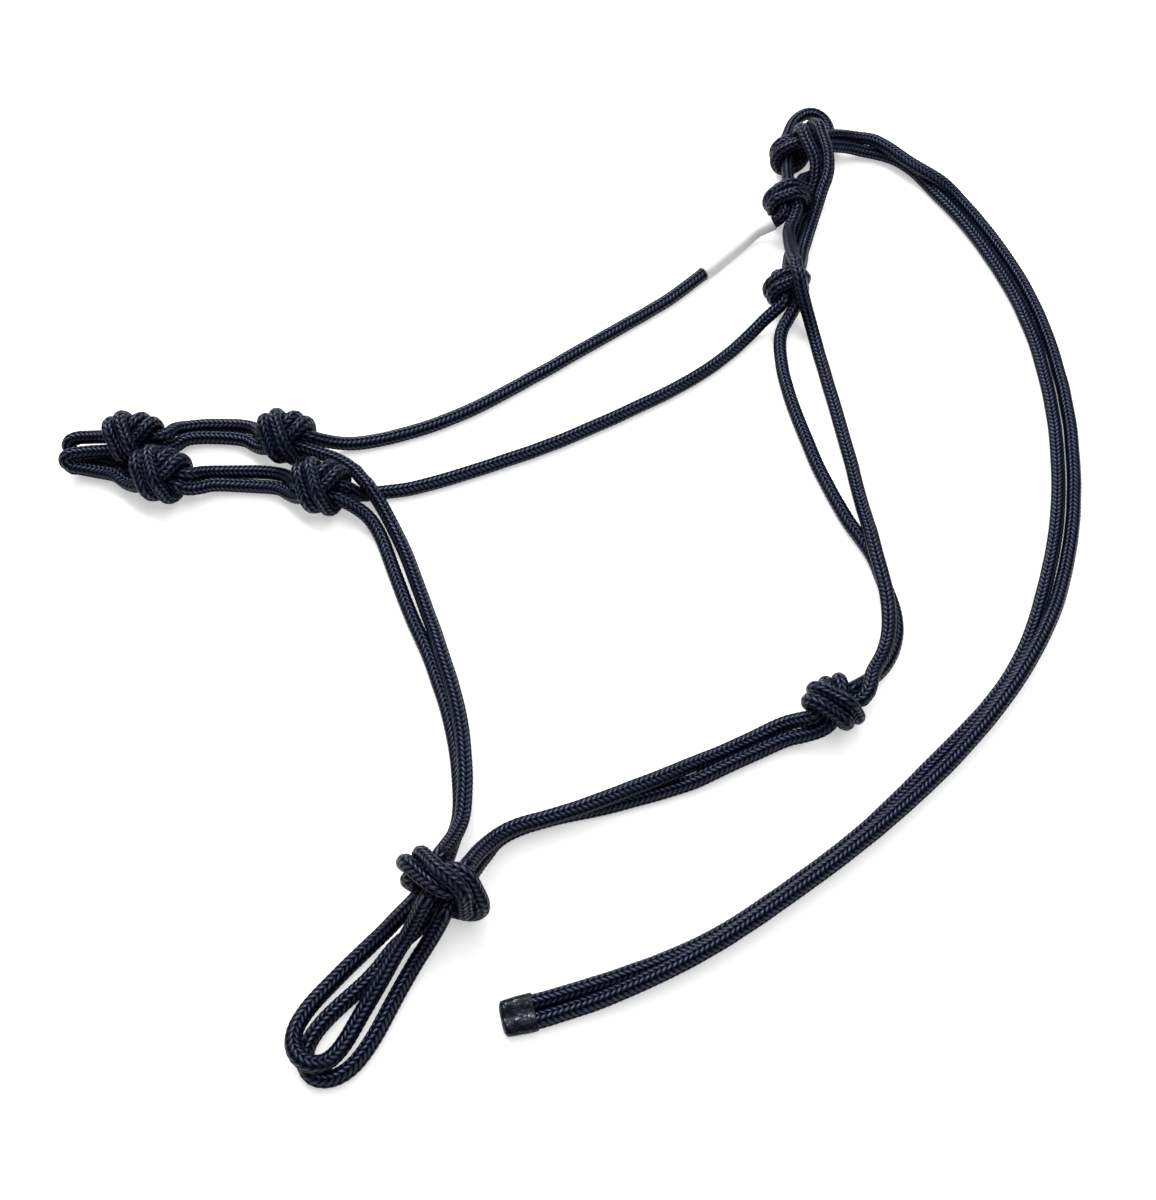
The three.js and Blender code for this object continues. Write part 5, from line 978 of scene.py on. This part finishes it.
def rope_material():
    """Sixteen carriers, two over and two under, drawn from the braid phase at each point."""
    m = Material("navy_braid")
    calc = m.math
    uv = m.add("ShaderNodeUVMap", uv_map="braid").outputs[0]
    phase_a, phase_b = m.add("ShaderNodeSeparateXYZ", Vector=uv).outputs[:2]

    def carrier(phase):
        """Number of the nearest carrier, offset across it, and its round profile."""
        number = calc("FLOOR", calc("ADD", phase, 0.5))
        offset = calc("SUBTRACT", phase, number)
        q = calc("MULTIPLY", offset, 1.86)  # reaches 0.93 at the carrier's edge
        profile = calc("SQRT", calc("MAXIMUM", calc("SUBTRACT", 1.0, calc("MULTIPLY", q, q)), 0.0))
        return number, offset, profile

    number_a, offset_a, profile_a = carrier(phase_a)
    number_b, offset_b, profile_b = carrier(phase_b)
    weave = calc("COSINE", calc("MULTIPLY", calc("ADD", phase_a, phase_b), math.pi / 2))
    # heights of the two hands, in shares of profile and weave; 1 is the crown of a float
    profile_share, weave_share = 0.64, 0.36

    def hand_height(operation, profile):
        own = calc("MULTIPLY", profile, profile_share)
        return calc(operation, own, calc("MULTIPLY", weave, weave_share))

    height_a = hand_height("ADD", profile_a)
    height_b = hand_height("SUBTRACT", profile_b)
    a_on_top = calc("GREATER_THAN", height_a, height_b)
    height = calc("MAXIMUM", height_a, height_b)
    raised = calc("MULTIPLY", height, 1.0, clamp=True)
    across = m.pick(a_on_top, offset_a, offset_b)
    run = m.pick(a_on_top, phase_b, phase_a)
    # 311 keeps the numbers of the two hands apart
    number = m.pick(a_on_top, number_a, calc("ADD", number_b, 311.0))

    # filaments run along a carrier, so the noise is drawn out that way
    fibre_space = m.add(
        "ShaderNodeCombineXYZ",
        X=calc("MULTIPLY", across, 11.0),
        Y=calc("MULTIPLY", run, 1.3),
        Z=calc("MULTIPLY", number, 3.7),
    ).outputs[0]
    fibre = m.noise(Scale=1.0, Detail=3.0, Roughness=0.6, Vector=fibre_space)
    per_carrier = m.add("ShaderNodeTexWhiteNoise", noise_dimensions="1D", W=number)
    broad = m.noise(Scale=45.0, Detail=3.0, Roughness=0.6, Vector=m.object_coord())

    # painted light: the crowns are painted a little paler as a highlight and the grooves between carriers
    # nearly black as shade; fibre, carrier and broad noise vary the tone
    crown = calc("POWER", raised, 3.8)
    painted_light_and_tone = calc("MULTIPLY", crown, m.scaled(fibre, gain=0.9, offset=0.25))
    variation = m.scaled(per_carrier.outputs["Value"], gain=0.35, offset=0.80)
    painted_light_and_tone = calc("MULTIPLY", painted_light_and_tone, variation)
    painted_light_and_tone = calc("MULTIPLY", painted_light_and_tone, m.scaled(broad, gain=0.8, offset=0.60), clamp=True)
    weave_bump = m.bump(Strength=1.0, Distance=0.00055, Height=height)
    m.surface({
        # the base colour carries the painted groove shade and the painted crown highlight
        "Base Color": m.ramp(painted_light_and_tone, ROPE_SHADE_TO_HIGHLIGHT_COLORS),
        "Roughness": m.scaled(fibre, gain=-0.22, offset=0.47),
        # only the crowns shine
        "Specular IOR Level": calc("MULTIPLY", calc("POWER", raised, 5.0), 0.80),
        "Specular Tint": (0.58, 0.70, 1.0, 1),
        "Normal": m.bump(Strength=0.55, Distance=0.00012, Height=fibre, Normal=weave_bump),
    })
    return m.mat


def label_material():
    m = Material("white_sleeve")
    mottle = m.noise(Scale=160.0, Detail=4.0, Vector=m.object_coord())
    m.surface({
        "Base Color": m.ramp(mottle, [(0.3, (0.70, 0.70, 0.71)), (0.7, (0.80, 0.80, 0.80))]),
        "Roughness": 0.38,
        "Normal": m.bump(Strength=0.15, Distance=0.0002, Height=mottle),
    })
    return m.mat


def cap_material():
    m = Material("black_sleeve")
    coord = m.object_coord()
    coarse = m.noise(Scale=240.0, Detail=4.0, Roughness=0.55, Vector=coord)
    fine = m.noise(Scale=700.0, Detail=3.0, Roughness=0.6, Vector=coord)
    # the gloss is broken: glints where the fine noise is high, satin elsewhere
    glint = m.math("MULTIPLY", m.math("SUBTRACT", fine, 0.52), 9.0, clamp=True)
    relief = m.bump(Strength=0.8, Distance=0.0008, Height=coarse)
    colors = [(0.3, (0.0010, 0.0016, 0.0046)), (0.75, (0.0036, 0.0054, 0.0120))]
    m.surface({
        "Base Color": m.ramp(coarse, colors),
        "Roughness": m.scaled(fine, gain=0.30, offset=0.26),
        "Specular IOR Level": 0.13,
        "Specular Tint": (0.75, 0.85, 1.0, 1),
        "Coat Weight": m.scaled(glint, gain=0.80, offset=0.03),
        "Coat Roughness": 0.06,
        "Normal": relief,
        "Coat Normal": relief,
    })
    return m.mat


def dress(ob, material, slot, *replaced):
    ob.data.materials.append(material)
    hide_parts(*replaced)


rope_mat, label_mat, cap_mat = rope_material(), label_material(), cap_material()
for name, ob in pieces.items():
    dress(ob, rope_mat, "rope", name)
for ob, start, end, first, second in bends:
    dress(ob, rope_mat, "rope", first, second)
    ends = [tuple(point) for point in centre([start, end]) * MM]
    bodies = [BODY_OF[first], BODY_OF[second]]
    if PARENT.get(bodies[1]) != bodies[0]:
        ends.reverse()
        bodies.reverse()
    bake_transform(ob)
dress(label, label_mat, "label", "label_sleeve")
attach(label, "headpiece")
dress(cap, cap_mat, "end_sleeve", "tail_end_sleeve")
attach(cap, "tail_c")


# ---------------------------------------------------------------- pieces attached to their bodies; blended pieces only baked in place
def blend_along(ob, name, from_start, length, lead_in=0):
    """Works out a length of rope at one end of the piece, lead_in starting it short of the piece's end,
    and bakes the piece's transform.
    """
    start, end = SPAN[name]
    stretch = [start, start + length] if from_start else [end, end - length]
    p, q = centre(stretch) * MM
    p = p - (q - p) * lead_in / length
    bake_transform(ob)


def starts_nearer(name, hinge):
    """Whether the start of the piece lies nearer the hinge than its end."""
    start, end = np.linalg.norm(centre(SPAN[name]) * MM - np.array(hinge), axis=1)
    return start < end


def blend_loop(ob, name):
    """Level direction out from the loop's hinge to the middle of the piece; the piece's transform is
    baked.
    """
    hinge = np.array(LOOP_HINGES[name])
    outward = np.array([v.co for v in ob.data.vertices]).mean(0) - hinge
    outward[2] = 0
    outward = outward / np.linalg.norm(outward)
    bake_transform(ob)


for name, ob in pieces.items():
    if name.startswith("noseband_") and "front" not in name:
        blend_along(ob, name, starts_nearer(name, NOSEBAND_HINGE), length=26)
    elif name.startswith("chin_"):
        # the chin ropes hang from the side knots, at their +Y ends
        start, end = centre(SPAN[name])
        blend_along(ob, name, start[1] > end[1], length=70)
    elif name.startswith("crown_tail_a"):
        blend_along(ob, name, starts_nearer(name, TAIL_HINGE), length=45, lead_in=14)
    elif name in LOOP_HINGES:
        blend_loop(ob, name)
    else:
        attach(ob, BODY_OF[name])


# ---------------------------------------------------------------- floor, light, camera
def build_floor():
    bpy.ops.mesh.primitive_plane_add(size=12.0, location=(0, 0, -0.00015))
    floor = bpy.context.object
    floor.name = "floor"
    m = Material("pale_floor")
    # seen straight on it is lifted towards white, which leaves a faint contact shadow
    camera_ray = m.add("ShaderNodeLightPath").outputs["Is Camera Ray"]
    m.surface({
        "Base Color": (0.90, 0.90, 0.90, 1),
        "Roughness": 0.9,
        "Specular IOR Level": 0.0,
        "Emission Color": (1, 1, 1, 1),
        "Emission Strength": m.math("MULTIPLY", camera_ray, FLOOR_LIFT),
    })
    floor.data.materials.append(m.mat)


def area_light(name, location, size, power):
    """Rectangular light aimed at the origin."""
    light = bpy.data.lights.new(name, "AREA")
    light.shape = "RECTANGLE"
    light.size, light.size_y = size
    light.energy = power
    ob = link_object(name, light)
    ob.location = location
    ob.rotation_euler = (-Vector(location)).to_track_quat("-Z", "Y").to_euler()


def build_world():
    """Dim sky, but seen directly as pale as the far floor, so no horizon shows."""
    world = bpy.data.worlds.new("studio")
    bpy.context.scene.world = world
    world.use_nodes = True
    tree = world.node_tree
    background = tree.nodes["Background"]
    background.inputs[0].default_value = (0.97, 0.98, 1, 1)
    path = tree.nodes.new("ShaderNodeLightPath")
    strength = tree.nodes.new("ShaderNodeMath")
    strength.operation = "MULTIPLY_ADD"
    strength.inputs[1].default_value = FLOOR_LIFT
    strength.inputs[2].default_value = SKY
    tree.links.new(path.outputs["Is Camera Ray"], strength.inputs[0])
    tree.links.new(strength.outputs[0], background.inputs[1])


def build_camera():
    data = bpy.data.cameras.new("camera")
    data.sensor_fit = "VERTICAL"
    data.sensor_height = 36.0
    data.lens = 39.0
    data.clip_start = 0.01
    data.clip_end = 50
    camera = link_object("camera", data)
    setback = CAMERA_HEIGHT * math.cos(CAMERA_ELEVATION) / math.sin(CAMERA_ELEVATION)
    camera.location = Vector((0, -setback, CAMERA_HEIGHT)) + Vector(CAMERA_SHIFT)
    camera.rotation_euler = (math.radians(30), 0, 0)
    bpy.context.scene.camera = camera


build_floor()
area_light("key", location=(-0.45, 0.95, 1.05), size=(0.9, 0.6), power=24.0)
area_light("top", location=(0.30, 0.10, 1.6), size=(1.4, 1.0), power=16.0)
build_world()
build_camera()
bpy.context.scene.view_settings.view_transform = "Standard"
